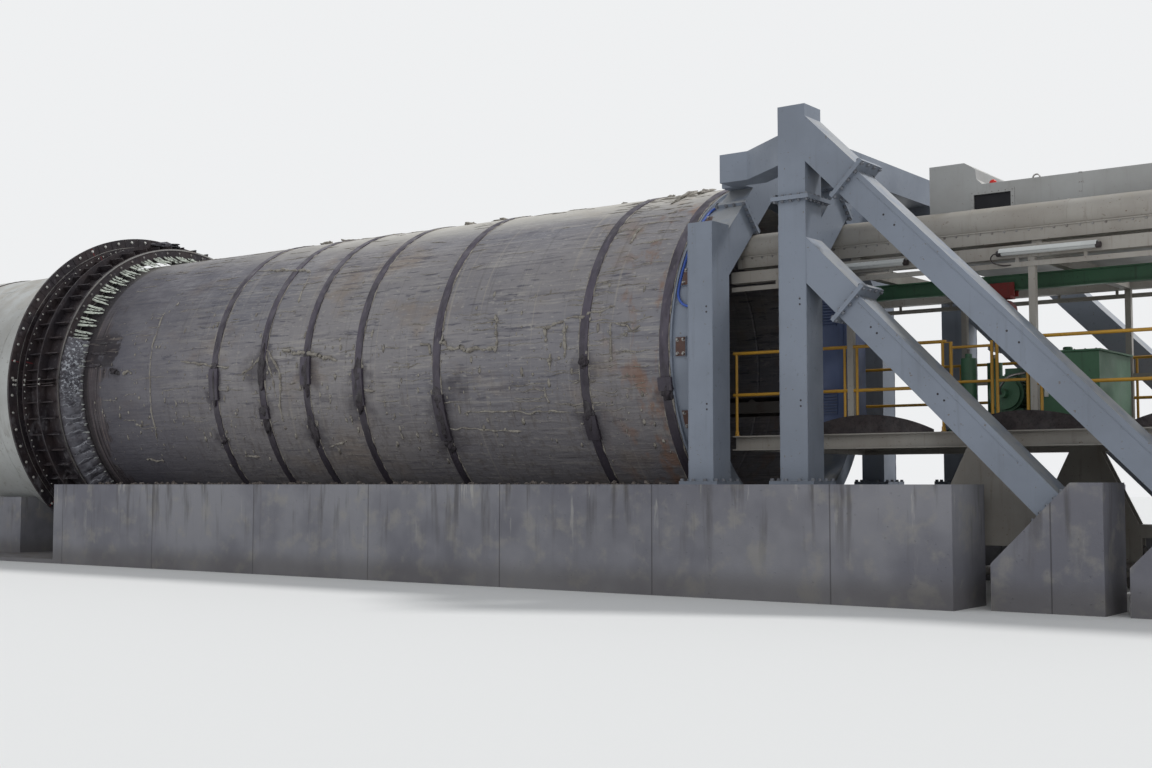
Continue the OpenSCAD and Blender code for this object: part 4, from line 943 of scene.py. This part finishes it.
# The lump of mud on top of the seal's can: a ball pushed by grain and stretched to its size
topLump = {"at": (13.62, 0.15, 6.13), "size": (0.20, 0.26, 0.06)}
ball, ballFaces = ballGrid(22, 34)
push = 1 + 0.4 * grain(ball * 2.0, 2.0, 31) + 0.15 * grain(ball * 5.0, 2.0, 32)
lump = (ball * push[:, None] * topLump["size"] + topLump["at"], ballFaces)
putPiece("sealTopLump", [lump], "sealMud", smooth=True)
print("stage: the barrel is dressed")


# Bearing ring: brown bolted plates and their bolts

ringPlates = {"count": 16, "x": (-0.084, 0.064), "half": 0.124, "out": 2.472, "thick": 0.006, "sunk": 0.003,
              "boltX": ((-0.055,), (0.035,)), "boltTurn": (-2.2, 2.2), "boltOut": 0.004, "bolt": 0.034}


def aroundCopies(shape, angles):
    # A shape made upright on the bore axis is copied to each angle, turned about the bore:
    # y = side * cos(angle) - out * sin(angle), z = axis + side * sin(angle) + out * cos(angle)
    points, faces = shape
    turn = np.radians(angles)[:, None]
    side, out = points[None, :, 1], points[None, :, 2]
    y = side * np.cos(turn) - out * np.sin(turn)
    z = axisZ + side * np.sin(turn) + out * np.cos(turn)
    x = np.broadcast_to(points[None, :, 0], y.shape)
    return np.stack([x, y, z], -1).reshape(-1, 3), repeated(faces, len(turn), len(points))


ringAngles = np.arange(ringPlates["count"]) * 360 / ringPlates["count"]
ringCover = bars([(ringPlates["x"][0], -ringPlates["half"], ringPlates["out"] - ringPlates["sunk"])],
                 [(ringPlates["x"][1], ringPlates["half"], ringPlates["out"] + ringPlates["thick"])])
putPiece("ringPlates", [aroundCopies(ringCover, ringAngles)], "brownPlate")
ringBolts = aroundBore(ringPlates["boltX"], (90 - ringAngles)[:, None, None] + ringPlates["boltTurn"],
                       ringPlates["out"] + ringPlates["boltOut"]).reshape(-1, 3)
putPiece("ringBolts", [bolts(ringBolts, awayFromBore(ringBolts), ringPlates["bolt"])], "boltSteel")


# Thrust frame: bolts on every flange

frameY = barrelR + 0.2
innerY = frameY - 0.42
columnX, mainPostX = (-0.64, -0.274), (-1.984, -1.608)     # rear and front faces
root2 = math.sqrt(2)
# A strut's upper line is height - x. Its depth and its plate are measured as that line's shift
strut = {"lines": (4.72, 3.21), "deep": 0.403 * root2, "plate": 0.349 * root2, "startX": -2.704,
         "footZ": 1.265, "face": 0.025 * root2, "past": 0.035, "reach": 0.075, "heel": 0.155}
splice = {"x": (-2.019, -1.573), "y": (2.215, 2.735), "top": axisZ + 1.7503, "deep": 0.0503}
base = {"x": ((-0.715, -0.199), (-2.079, -1.513)), "edge": 0.045, "top": troughZ + 0.040}
knee = {"middle": 1.74762, "half": 0.241, "edge": 0.026, "face": 0.025}
boltSizes = {"splice": 0.036, "knee": 0.034, "strut": 0.036, "base": 0.046}


def boltRing(x0, x1, y0, y1, z, countX, countY):
    # Places along the four edges of a level rectangle
    xs, ys = np.linspace(x0, x1, countX), np.linspace(y0, y1, countY)
    return np.insert(rim((y0, y1), xs, (x0, x1), ys[1:-1]), 2, z, 1)


def kneeBolts(x0, x1, shift, way):
    # Bolts on one face of a knee's flange pair, which lies along the line y = height + shift
    s = knee
    r = math.sqrt(0.5)
    alongs = np.linspace(-s["half"], s["half"], 6)
    inside, ends = np.linspace(x0, x1, 4)[1:-1], (x0 - s["edge"], x1 + s["edge"])
    flat = rim((alongs[0], alongs[-1]), inside, ends, alongs)
    places = np.stack([flat[:, 0], s["middle"] + shift / 2 + flat[:, 1] * r,
                       axisZ + s["middle"] - shift / 2 + flat[:, 1] * r], 1)
    ahead = np.full_like(places, way * np.array([0, -r, r]))
    return bolts(bothSides(places + s["face"] * ahead), bothSides(ahead), boltSizes["knee"])


def strutPoint(run, line):
    # A place in the strut's side view, from x + height = run and height - x = line
    return (run - line) / 2, (run + line) / 2


def strutBolts(line):
    # Bolts of the three plates that lie square to a strut, each from its run, its side and its two lines
    low = line - strut["deep"]
    top = low + strut["plate"]
    start = 2 * strut["startX"] + line
    foot = 2 * (strut["footZ"] - axisZ) - top
    ys = (innerY - strut["past"], frameY + strut["past"])
    face, reach = strut["face"], strut["reach"]
    found = []
    for run, way, c0, c1 in ((start + face, 1, low - reach, line + reach),
                             (start - 0.001 - face, -1, low - reach, top + strut["heel"]),
                             (foot + face, 1, low - reach, top + reach)):
        ring = rim(ys, np.linspace(c0, c1, 5), (c0, c1), np.linspace(*ys, 4)[1:-1])
        x, height = strutPoint(run, ring[:, 0])
        places = np.stack([x, ring[:, 1], axisZ + height], 1)
        found.append(bolts(bothSides(places), (way, 0, way), boltSizes["strut"]))
    return found


spliceTop = bothSides(boltRing(*splice["x"], *splice["y"], splice["top"], 5, 6))
frameBolts = [bolts(spliceTop, up, boltSizes["splice"]),
              bolts(spliceTop - [0, 0, splice["deep"]], down, boltSizes["splice"])]
for span in base["x"]:
    places = boltRing(*span, innerY - base["edge"], frameY + base["edge"], base["top"], 4, 4)
    frameBolts.append(bolts(bothSides(places), up, boltSizes["base"]))
kneeRows = ((columnX, 0.0), (mainPostX, -0.1))
frameBolts += [kneeBolts(*span, shift, way) for span, shift in kneeRows for way in (1, -1)]
for line in strut["lines"]:
    frameBolts += strutBolts(line)
putPiece("frameBolts", frameBolts, "paintedBolt")
print("stage: the thrust frame is dressed")


# Thrust frame: weld beads where arms and struts meet the posts, a seam on each strut, and dark discs of
# painted shade where struts and posts have holes

def beadSet(lines, size, steps=60):
    # Weld beads: straight tubes whose thickness ripples along their length
    lines = np.asarray(lines, float)
    t = np.linspace(0, 1, steps)[None, :, None]
    paths = lines[:, :1] * (1 - t) + lines[:, 1:] * t
    ripple = 0.25 * np.sin(t[..., 0] * steps * 1.9) + 0.15 * grain(paths, 0.15, 51)
    return tubes(paths, size * (1 + ripple), 5)


strutSeam = {"share": 0.30, "size": 0.005, "holeShadeDisc": 0.013}
seamLines, holeShadeSpots = [], []
for line in strut["lines"]:
    bottom = line - strut["deep"]
    start = 2 * strut["startX"] + line - 0.12
    end = 2 * (strut["footZ"] - axisZ) - bottom + 0.35
    seamEnds = [strutPoint(run, line - strutSeam["share"] * strut["deep"]) for run in (start, end)]
    seamLines.append([(x, frameY + 0.001, axisZ + height) for x, height in seamEnds])
    for share in (0.12, 0.16, 0.55, 0.59):
        x, height = strutPoint(start + share * (end - start), bottom + 0.45 * strut["deep"])
        holeShadeSpots.append((x, frameY, axisZ + height))
for span in (columnX, mainPostX):
    seamLines += [[(x, frameY, troughZ + 0.04), (x, frameY, axisZ + 1.4)] for x in span]
    seamLines.append([(x, frameY + 0.002, troughZ + 0.043) for x in span])
    holeShadeSpots += [(span[0] + 0.09, frameY, z) for z in (2.35, 2.42, 3.60, 3.67)]
seamLines.append([(x, frameY + 0.002, axisZ + 1.698) for x in mainPostX])
putPiece("frameWelds", [beadSet(bothSides(seamLines), strutSeam["size"])], "frame_paint", smooth=True)
# painted shade: flat dark discs stand for the holes in the struts and posts
holeShadeDiscR = strutSeam["holeShadeDisc"]
holeShadeDisc = turnedShape([(holeShadeDiscR, -0.004), (holeShadeDiscR, 0.002), (0.6 * holeShadeDiscR, 0.003)], 12)
putPiece("frameHoleShadeDiscs", [stamped(holeShadeDisc, np.array(holeShadeSpots) * [1, side, 1], (0, side, 0)) for side in (1, -1)],
         "darkGrease")

# Loose concrete and dried mud that lies on the trough beside the barrel
rubble = {"count": 900, "small": 0.010, "large": 0.050, "x": (0.2, 12.8), "y": (2.02, 2.12, 2.75),
          "sunk": 0.55}


def rubbleStones():
    # Small uneven stones: coarse balls pushed by grain and flattened, sunk a little into their bed
    s = rubble
    pick = np.random.default_rng(91)
    points, faces = ballGrid(5, 8)
    x = pick.uniform(*s["x"], s["count"])
    y = pick.triangular(*s["y"], s["count"]) * pick.choice([-1, 1], s["count"])
    size = s["small"] + (s["large"] - s["small"]) * pick.random(s["count"]) ** 4
    size = size[:, None, None] * pick.uniform(0.6, 1.2, (s["count"], 1, 3)) * [1, 1, 0.7]
    centre = np.stack([x, y, np.full(len(x), troughZ)], -1)[:, None]
    push = 1 + 0.3 * grain(points[None] * 1.6 + centre * 9, 2.0, 92)[..., None]
    spread = centre + points[None] * push * size + size[:, :, 2:] * [0, 0, s["sunk"]]
    return spread.reshape(-1, 3), repeated(faces, s["count"], len(points))


putPiece("troughRubble", [rubbleStones()], "dryRubble")
print("stage: the welds and the rubble are in place")


# Gantry: lamps with caps and conduits, duct clamps, trough bolts, housing trim

postX = [-2.155, -4.495, -6.835, -9.175]
lamps = {"rear": -0.825, "front": 0.375, "y": 1.962, "z": 4.105, "cap": 0.036, "capLong": 0.04,
         "cord": 0.0075}


def softPath(points, steps=28):
    # A smooth path through given points: between two of them a cubic in u, whose slope at each point
    # is half the step between the points before and after it
    points = np.asarray(points, float)
    t = np.linspace(0, len(points) - 1, steps)
    i = np.clip(t.astype(int), 0, len(points) - 2)
    padded = np.concatenate([2 * points[:1] - points[1:2], points, 2 * points[-1:] - points[-2:-1]])
    p0, p1, p2, p3 = (padded[i + k] for k in range(4))
    u = (t - i)[:, None]
    return 0.5 * (2 * p1 + (p2 - p0) * u + (2 * p0 - 5 * p1 + 4 * p2 - p3) * u ** 2
                  + (3 * p1 - p0 - 3 * p2 + p3) * u ** 3)


capShape = turnedShape([(0.022, -0.012), (lamps["cap"], -0.008), (lamps["cap"], 0.045), (0.030, 0.052)], 16)
capEnds = (lamps["rear"], lamps["front"] - lamps["capLong"])
capPlaces = [(p + end, lamps["y"], lamps["z"]) for p in postX for end in capEnds]
putPiece("lampCaps", [stamped(capShape, capPlaces, forward)], "guard_dark")
# Places of a conduit's bends, as they lie from its lamp's front end
conduit = np.array([(0, 0, 0), (0.05, 0, -0.004), (0.085, -0.005, -0.045), (0.06, -0.02, -0.10),
                    (-0.04, -0.05, -0.135), (-0.14, -0.075, -0.135)])
conduits = [softPath(conduit + (p + lamps["front"], lamps["y"], lamps["z"])) for p in postX]
putPiece("lampConduits", [tubes(conduits, lamps["cord"], 8)], "guard_dark", smooth=True)

ductTrim = {"y": 1.54, "z": 4.535, "r": 0.205, "every": 1.17, "lip": 1.73, "boltZ": 4.398, "bolt": 0.020}


def clampBands():
    # Clamp bands on the duct: an arc from lip to lip, with the profile of a flat strap
    s = ductTrim
    turn = np.radians(np.linspace(-20, 200, 50))[None, :, None]
    dx = np.array([0, 0.032, 0.032, 0])[None, None, :]
    dr = np.array([-0.002, -0.002, 0.005, 0.005])[None, None, :]
    x = (np.arange(deckRear + 0.5, deckFront - 0.2, s["every"]))[:, None, None]
    around = s["r"] + dr
    y, z = s["y"] + around * np.cos(turn), s["z"] + around * np.sin(turn)
    band = np.stack(np.broadcast_arrays(x + dx, y, z), -1)
    return band.reshape(-1, 3), repeated(tubeFaces(band.shape[1], 4), len(x), band.shape[1] * 4)


putPiece("ductClamps", [clampBands()], "gantry_cream")
lipX = np.arange(deckRear + 0.08, deckFront - 0.05, 0.15)
lipBolts = [(x, ductTrim["lip"], ductTrim["boltZ"]) for x in lipX]
lipStrip = bars([(deckRear, ductTrim["lip"] - 0.001, 4.410)], [(deckFront, ductTrim["lip"] + 0.012, 4.426)])
putPiece("troughBolts", [bolts(lipBolts, (0, 1, 0), ductTrim["bolt"])], "boltSteel")
putPiece("troughLip", [lipStrip], "gantry_cream", bevel=0.003)

housing = {"x": (-9.6, -3.0), "y": (-0.9, 1.3), "z": (4.2, 5.1), "window": ((-4.05, 4.76), (-3.58, 4.97)),
           "border": 0.045, "borderOut": 0.010, "seam": 0.94, "strip": 0.02, "proud": 0.004, "sunk": 0.002,
           "rivet": 0.013, "beside": 0.012, "every": 0.12}
(wx0, wz0), (wx1, wz1) = housing["window"]
(farY, nearY), (z0, z1), border = housing["y"], housing["z"], housing["border"]
strip, proud, sunk = housing["strip"], housing["proud"], housing["sunk"]
# The window's border as four bars: low x and z, high x and z
windowBars = ((wx0 - border, wz1, wx1 + border, wz1 + border),
              (wx0 - border, wz0 - border, wx1 + border, wz0),
              (wx0 - border, wz0, wx0, wz1), (wx1, wz0, wx1 + border, wz1))
borderY = nearY + housing["borderOut"]
putPiece("windowFrame", [bars([(a, nearY - sunk, b) for a, b, c, d in windowBars],
                              [(c, borderY, d) for a, b, c, d in windowBars])], "panel_white")
rivetLine = 0.022     # how far the border's rivets stand from the window
frameX = np.linspace(wx0 - rivetLine, wx1 + rivetLine, 7)
frameZ = np.linspace(wz0 - rivetLine, wz1 + rivetLine, 4)
windowRim = rim((frameZ[0], frameZ[-1]), frameX, (frameX[0], frameX[-1]), frameZ[1:-1])
windowRivets = np.insert(windowRim, 1, borderY, 1)
seamX = np.arange(housing["x"][0] + 0.94, housing["x"][1] - 1.2, housing["seam"])
strips = [((x - strip, y0, z0 + 0.01), (x + strip, y1, z1)) for x in seamX
          for y0, y1 in ((nearY - sunk, nearY + proud), (farY - proud, farY + sunk))]
strips += [((x - strip, farY - proud, z1 - sunk), (x + strip, nearY + proud, z1 + proud)) for x in seamX]
strips += [((housing["x"][0] - proud, y - strip, z0 + 0.01), (housing["x"][0] + sunk, y + strip, z1))
           for y in (farY + 0.35, 0.2, nearY - 0.35)]
putPiece("housingSeams", [bars(*zip(*strips))], "panel_white")
rivetX = [x + way * housing["beside"] for x in seamX for way in (-1, 1)]
farRivets = [(x, farY - proud, z) for x in rivetX for z in np.arange(z0 + 0.06, z1, housing["every"])]
topRivets = [(x, y, z1 + proud) for x in rivetX for y in np.arange(farY + 0.06, nearY, housing["every"])]
nearRivets = [(x, nearY + proud, z) for x in rivetX for z in np.arange(wz0, z1, 0.11)]
dome = turnedShape(housing["rivet"] * np.array([(0.55, 0.0), (0.5, 0.25), (0.25, 0.4)]), 6)
rivetSets = ((windowRivets, (0, 1, 0)), (nearRivets, (0, 1, 0)), (farRivets, (0, -1, 0)), (topRivets, up))
putPiece("housingRivets", [stamped(dome, places, ahead) for places, ahead in rivetSets], "boltSteel")


def slats(x0, x1, y, z0, z1, out, count, depth=0.022, half=0.006, droop=0.020):
    # A louvre: slats that slope outwards, each a thin bar whose outer edge hangs lower than the inner one
    z = np.linspace(z0, z1, count)
    low = np.stack([np.full(count, x0), np.full(count, min(y, y + out * depth)), z - half], 1)
    high = np.stack([np.full(count, x1), np.full(count, max(y, y + out * depth)), z + half], 1)
    points, faces = bars(low, high)
    away = np.abs(points[:, 1] - y) > 0.5 * depth
    points[away, 2] -= droop
    return points, faces


louvres = [slats(seamX[i] + 0.12, seamX[i] + 0.82, farY, 4.5, 4.85, -1, 10) for i in (0, 2, 4)]
putPiece("housingLouvres", louvres, "panel_white")
eyes = [circleAcross((x, y, z1 + 0.035), 0.045, np.linspace(0, 360, 14)) for x in (-9.2, -6.5, -4.3)
        for y in (farY + 0.2, nearY - 0.2)]
putPiece("housingLiftEyes", [tubes(eyes, 0.010, 6)], "boltSteel", smooth=True)
print("stage: lamps, duct and housing are trimmed")


# Gantry: feet, rail sockets, cabinet, power unit and belt

foot = {"x": (-0.042, 0.042), "y": (1.735, 1.785), "thick": 0.015, "bolt": 0.022}
footBolts = [(p + dx, side * y, deckZ + foot["thick"]) for p in postX for dx in foot["x"]
             for y in foot["y"] for side in (1, -1)]
putPiece("postFootBolts", [bolts(footBolts, up, foot["bolt"])], "boltSteel")
railRuns = [(-2.115, -0.45), (-3.42, -2.195), (-6.795, -4.535), (-9.135, -6.875), (-10.05, -9.215)]
socketX = [x for run in railRuns for x in (run[0] + 0.045, run[1] - 0.045)]
socketPlaces = [(x, side * 1.859, deckZ) for x in socketX for side in (1, -1)]
socket = turnedShape([(0.034, 0.0), (0.034, 0.008), (0.025, 0.012), (0.025, 0.06), (0.019, 0.062)], 16)
putPiece("railSockets", [stamped(socket, socketPlaces, up)], "rail_yellow")

cabinet = {"x": (-1.95, -1.25), "y": (1.10, 1.65), "top": deckZ + 1.9, "roof": 0.022, "over": 0.02,
           "ventX": (-1.86, -1.36), "ventZ": (2.32, 3.45), "ventHigh": 0.30, "ventDeep": 0.016}
vents = [slats(*cabinet["ventX"], cabinet["y"][1], z, z + cabinet["ventHigh"], 1, 9, cabinet["ventDeep"])
         for z in cabinet["ventZ"]]
putPiece("cabinetVents", vents, "cabinet_blue")
(x0, x1), (y0, y1), over = cabinet["x"], cabinet["y"], cabinet["over"]
roof = bars([(x0 - over, y0 - over, cabinet["top"] - 0.002)],
            [(x1 + over, y1 + over, cabinet["top"] + cabinet["roof"])])
putPiece("cabinetRoof", [roof], "cabinet_blue", bevel=0.006)

unit = {"x": -3.6, "z": deckZ + 0.52, "r": 0.23, "fins": 30, "y": (-0.27, 0.37)}


def motorFins():
    # Fins along the motor: thin bars standing out along the radius
    s = unit
    turn = np.radians(np.arange(s["fins"]) * 360 / s["fins"])[:, None]
    out, side = s["r"] + np.array([-0.004, 0.022, 0.022, -0.004]), np.array([-0.004, -0.004, 0.004, 0.004])
    x = s["x"] + out * np.cos(turn) - side * np.sin(turn)
    z = s["z"] + out * np.sin(turn) + side * np.cos(turn)
    return stripBars(np.concatenate([np.stack([x, np.full_like(x, y), z], -1) for y in s["y"]], 1))


putPiece("motorFins", [motorFins()], "unit_green")
pipes = [[(-3.6, 0.52, 2.55), (-3.6, 0.60, 2.55), (-3.62, 0.66, 2.62), (-3.75, 0.66, 2.75),
          (-3.95, 0.50, 2.80), (-4.02, 0.42, 2.80)],
         [(-3.42, 0.35, 2.30), (-3.30, 0.40, 2.32), (-3.18, 0.45, 2.40), (-3.13, 0.45, 2.70),
          (-3.13, 0.45, 3.10), (-3.13, 0.45, 3.13)],
         [(-3.42, -0.2, 2.30), (-3.30, -0.34, 2.28), (-3.20, -0.45, 2.36), (-3.13, -0.45, 2.70),
          (-3.13, -0.45, 3.05), (-3.13, -0.45, 3.13)],
         [(-3.95, -0.40, 2.35), (-3.80, -0.42, 2.33), (-3.72, -0.38, 2.28), (-3.66, -0.30, 2.26),
          (-3.60, -0.22, 2.28), (-3.55, -0.20, 2.30)]]
putPiece("unitPipes", [tubes([softPath(p, 40) for p in pipes], 0.017, 10)], "boltSteel", smooth=True)
tank = {"x": (-4.88, -3.92), "y": (-0.68, 0.63), "lid": (deckZ + 0.995, deckZ + 1.02), "edge": 0.08,
        "bolt": 0.020, "filler": (-4.15, -0.35)}
(x0, x1), (y0, y1), (lidLow, lidTop), edge = tank["x"], tank["y"], tank["lid"], tank["edge"]
lidEdge = boltRing(x0 + edge, x1 - edge, y0 + edge, y1 - edge, lidTop, 7, 9)
lid = bars([(x0, y0, lidLow)], [(x1, y1, lidTop)])
terminal = bars([(-3.70, -0.06, deckZ + 0.72)], [(-3.50, 0.16, deckZ + 0.86)])
gauge = bars([(-4.22, 0.598, deckZ + 0.45)], [(-4.17, 0.618, deckZ + 0.80)])
filler = turnedShape([(0.055, 0.0), (0.055, 0.02), (0.045, 0.025), (0.045, 0.08), (0.062, 0.085),
                      (0.062, 0.115), (0.050, 0.125)], 20)
fillerHere = stamped(filler, [(*tank["filler"], lidTop)], up)
putPiece("tankLid", [lid, terminal, fillerHere], "unit_green", bevel=0.005)
putPiece("tankGauge", [gauge], "lamp_tube", bevel=0.004)
putPiece("tankBolts", [bolts(lidEdge, up, tank["bolt"])], "boltSteel")

belt = {"x": (-0.42, 19.05), "half": 0.385, "flat": 0.075, "low": 2.478, "slope": math.tan(math.radians(25)),
        "thick": 0.010}


def beltSheet():
    # A troughed belt: flat in the middle, then rising by the rollers' slope; the profile is carried along x
    s = belt
    y = np.linspace(-s["half"], s["half"], 41)
    z = s["low"] + np.maximum(np.abs(y) - s["flat"], 0) * s["slope"]
    section = np.concatenate([np.stack([y, z], 1), np.stack([y[::-1], z[::-1] + s["thick"]], 1)])
    x = np.linspace(*s["x"], 100)
    points = np.stack(np.broadcast_arrays(x[:, None], section[None, :, 0], section[None, :, 1]), -1)
    return points.reshape(-1, 3), tubeFaces(len(x), len(section))


putPiece("conveyorBelt", [beltSheet()], "beltRubber")
print("stage: the gantry is trimmed")


# Shield: weld beads round and along its plates, injection ports, and a dark joint between its two halves

shield = {"tailR": 2.580, "frontR": 2.595, "bead": 0.006, "port": 0.036, "jointX": 18.0, "jointR": 2.582,
          "jointThick": 0.016}


def ringBead(x, radius, size, sides=6, steps=420):
    # A closed bead round the bore: a circle carried round, its size rippling as a weld does
    turn = np.linspace(0, 360, steps, endpoint=False)[:, None]
    ring = np.linspace(0, 2 * np.pi, sides, endpoint=False)[None, :]
    thick = size * (1 + 0.2 * np.sin(np.radians(turn) * 140))
    points = aroundBore(x + thick * np.cos(ring), turn, radius + thick * np.sin(ring))
    return points.reshape(-1, 3), [gridFaces(steps, sides, True, True)]


# Courses of plates: where each begins and ends, its radius, and the angles of the seams along it
courses = ((15.60, 16.80, "tailR", (20, 100, 190, 280)), (16.80, 17.99, "tailR", (55, 140, 235, 320)),
           (18.02, 19.20, "frontR", (12, 96, 200, 290)), (19.20, 20.40, "frontR", (50, 135, 230, 325)),
           (20.40, 21.29, "frontR", (15, 105, 195, 285)))
shieldBeads = [ringBead(x, shield[r], shield["bead"]) for x, end, r, angles in courses]
for x, end, r, angles in courses:
    lines = [[aroundBore(place, a, shield[r]) for place in (x, end)] for a in angles]
    shieldBeads.append(beadSet(lines, shield["bead"], 50))
putPiece("shieldWelds", shieldBeads, "shield_paint", smooth=True)
jointBead = ringBead(shield["jointX"], shield["jointR"], shield["jointThick"], 8, 240)
putPiece("shieldJoint", [jointBead], "guard_dark", smooth=True)
portProfile = np.array([(1, -0.010), (1, 0.004), (0.8, 0.007), (0.40, 0.007), (0.36, 0.002)])
port = turnedShape(portProfile * [shield["port"], 1], 20)
# Rings of ports: place along the bore, radius, first angle and how many
portRings = ((18.45, "frontR", 0, 12), (20.85, "frontR", 15, 10), (17.4, "tailR", 8, 8))
portPlaces = np.array([aroundBore(x, a, shield[r]) for x, r, shift, count in portRings
                       for a in np.arange(count) * 360 / count + shift])
putPiece("shieldPorts", [stamped(port, portPlaces, awayFromBore(portPlaces))], "boltSteel")


# Cutterhead: bright cutter rings, wear plates, hub bolts, scraper bolts and beads of hard facing

head = {"x": 21.34, "face": 21.96, "hubFace": 21.99, "plateFace": 21.975, "rimR": 2.580, "arms": 6,
        "discX": 21.90, "discs": ((-0.13, 2.29), (0.13, 1.92), (-0.13, 1.55), (0.13, 1.18)),
        "hubBoltR": 0.74, "noseFace": 22.02, "noseBoltR": 0.27}
scraper = {"x": 21.875, "y": 0.375, "first": 1.07, "step": 0.26, "count": 5, "pair": (0.05, 0.15),
           "bolt": 0.030}
armAngles = np.arange(head["arms"]) * 360 / head["arms"]

# A cutter's ring is a closed profile turned about an axis that lies across the arm
tipProfile = [(0.198, -0.013), (0.2165, -0.0105), (0.2185, 0.0), (0.2165, 0.0105), (0.198, 0.013)]
tip, tipFaces = turnedShape(tipProfile, 48, hollow=True)
tip = tip[:, [0, 2, 1]] * [1, 1, -1]
cutterRings = [aroundCopies((tip + (head["discX"], y, z), tipFaces), armAngles) for y, z in head["discs"]]
putPiece("cutterTips", cutterRings, "paleSteelPaintedGlint", "cutter_head")
wearBars = bars([(21.957, 0.050, 2.180), (21.957, -0.215, 1.080)],
                [(head["plateFace"], 0.215, 2.470), (head["plateFace"], -0.050, 1.290)])
putPiece("headWearPlates", [aroundCopies(wearBars, armAngles)], "cutter_steel", "cutter_head", bevel=0.004)
plateBoltAt = [(head["plateFace"], y, z) for y in (0.08, 0.185) for z in (2.22, 2.43)]
plateBoltAt += [(head["plateFace"], y, z) for y in (-0.185, -0.08) for z in (1.115, 1.255)]
headBolts = [aroundCopies(bolts(plateBoltAt, forward, 0.034), armAngles)]
for side in (1, -1):
    places = [(scraper["x"], side * scraper["y"], scraper["first"] + k * scraper["step"] + dz)
              for k in range(scraper["count"]) for dz in scraper["pair"]]
    headBolts.append(aroundCopies(bolts(places, (0, side, 0), scraper["bolt"]), armAngles))
headBolts += [bolts(aroundBore(head["hubFace"], np.arange(0, 360, 15), head["hubBoltR"]), forward, 0.052),
              bolts(aroundBore(head["noseFace"], np.arange(0, 360, 30), head["noseBoltR"]), forward, 0.040)]
putPiece("headBolts", headBolts, "boltSteel", "cutter_head")
nose = turnedShape([(0.36, -0.005), (0.36, 0.022), (0.345, 0.030), (0.16, 0.030), (0.14, 0.075),
                    (0.11, 0.085)], 64)
putPiece("headNose", [stamped(nose, [(head["hubFace"], 0, axisZ)], forward)], "cutter_steel", "cutter_head")

# Hard facing: slanting beads round the rim, and rows of short beads along the arm faces
rimLines = [[aroundBore(head["x"] + on, a + turn, head["rimR"]) for on, turn in ((0.03, 0), (0.26, 2.2))]
            for a in np.arange(0, 360, 3.0)]
armLines = [[(head["face"], -0.028, out), (head["face"], 0.028, out + 0.03)]
            for out in np.arange(1.10, 2.46, 0.09)]
putPiece("hardFacing", [beadSet(rimLines, 0.0045, 10), aroundCopies(beadSet(armLines, 0.006, 8), armAngles)],
         "cutter_steel", "cutter_head", smooth=True)
print("stage: shield and cutterhead are dressed")


# Wheels: nuts on the axle ends that turn with them, and bearing caps on the bogie plates

wheel = {"end": 1.910, "plate": 1.900, "capFace": 1.921, "nut": 0.040, "bolt": 0.016, "endBoltR": 0.045,
         "capBoltR": 0.088}
cap = turnedShape([(0.064, -0.002), (0.112, -0.002), (0.112, 0.016), (0.104, 0.022), (0.070, 0.022),
                   (0.064, 0.018)], 32, hollow=True)
bearingCaps, capBolts = [], []
for number in (1, 2, 3, 4):
    low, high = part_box("wheelset_%d" % number)
    middleX, middleZ = (low.x + high.x) / 2, (low.z + high.z) / 2
    nuts = []
    for side in (1, -1):
        end, plate, face = ((middleX, side * wheel[y], middleZ) for y in ("end", "plate", "capFace"))
        endPlaces = circleAcross(end, wheel["endBoltR"], np.arange(4) * 90 + 45)
        nuts += [bolts([end], (0, side, 0), wheel["nut"]), bolts(endPlaces, (0, side, 0), wheel["bolt"])]
        bearingCaps.append(stamped(cap, [plate], (0, side, 0)))
        capPlaces = circleAcross(face, wheel["capBoltR"], np.arange(6) * 60)
        capBolts.append(bolts(capPlaces, (0, side, 0), wheel["bolt"]))
    putPiece("axleNuts%d" % number, nuts, "boltSteel", "wheels_%d" % number)
putPiece("bearingCaps", bearingCaps, "cutter_steel")
putPiece("bearingCapBolts", capBolts, "boltSteel")
print("stage: the wheels are dressed")
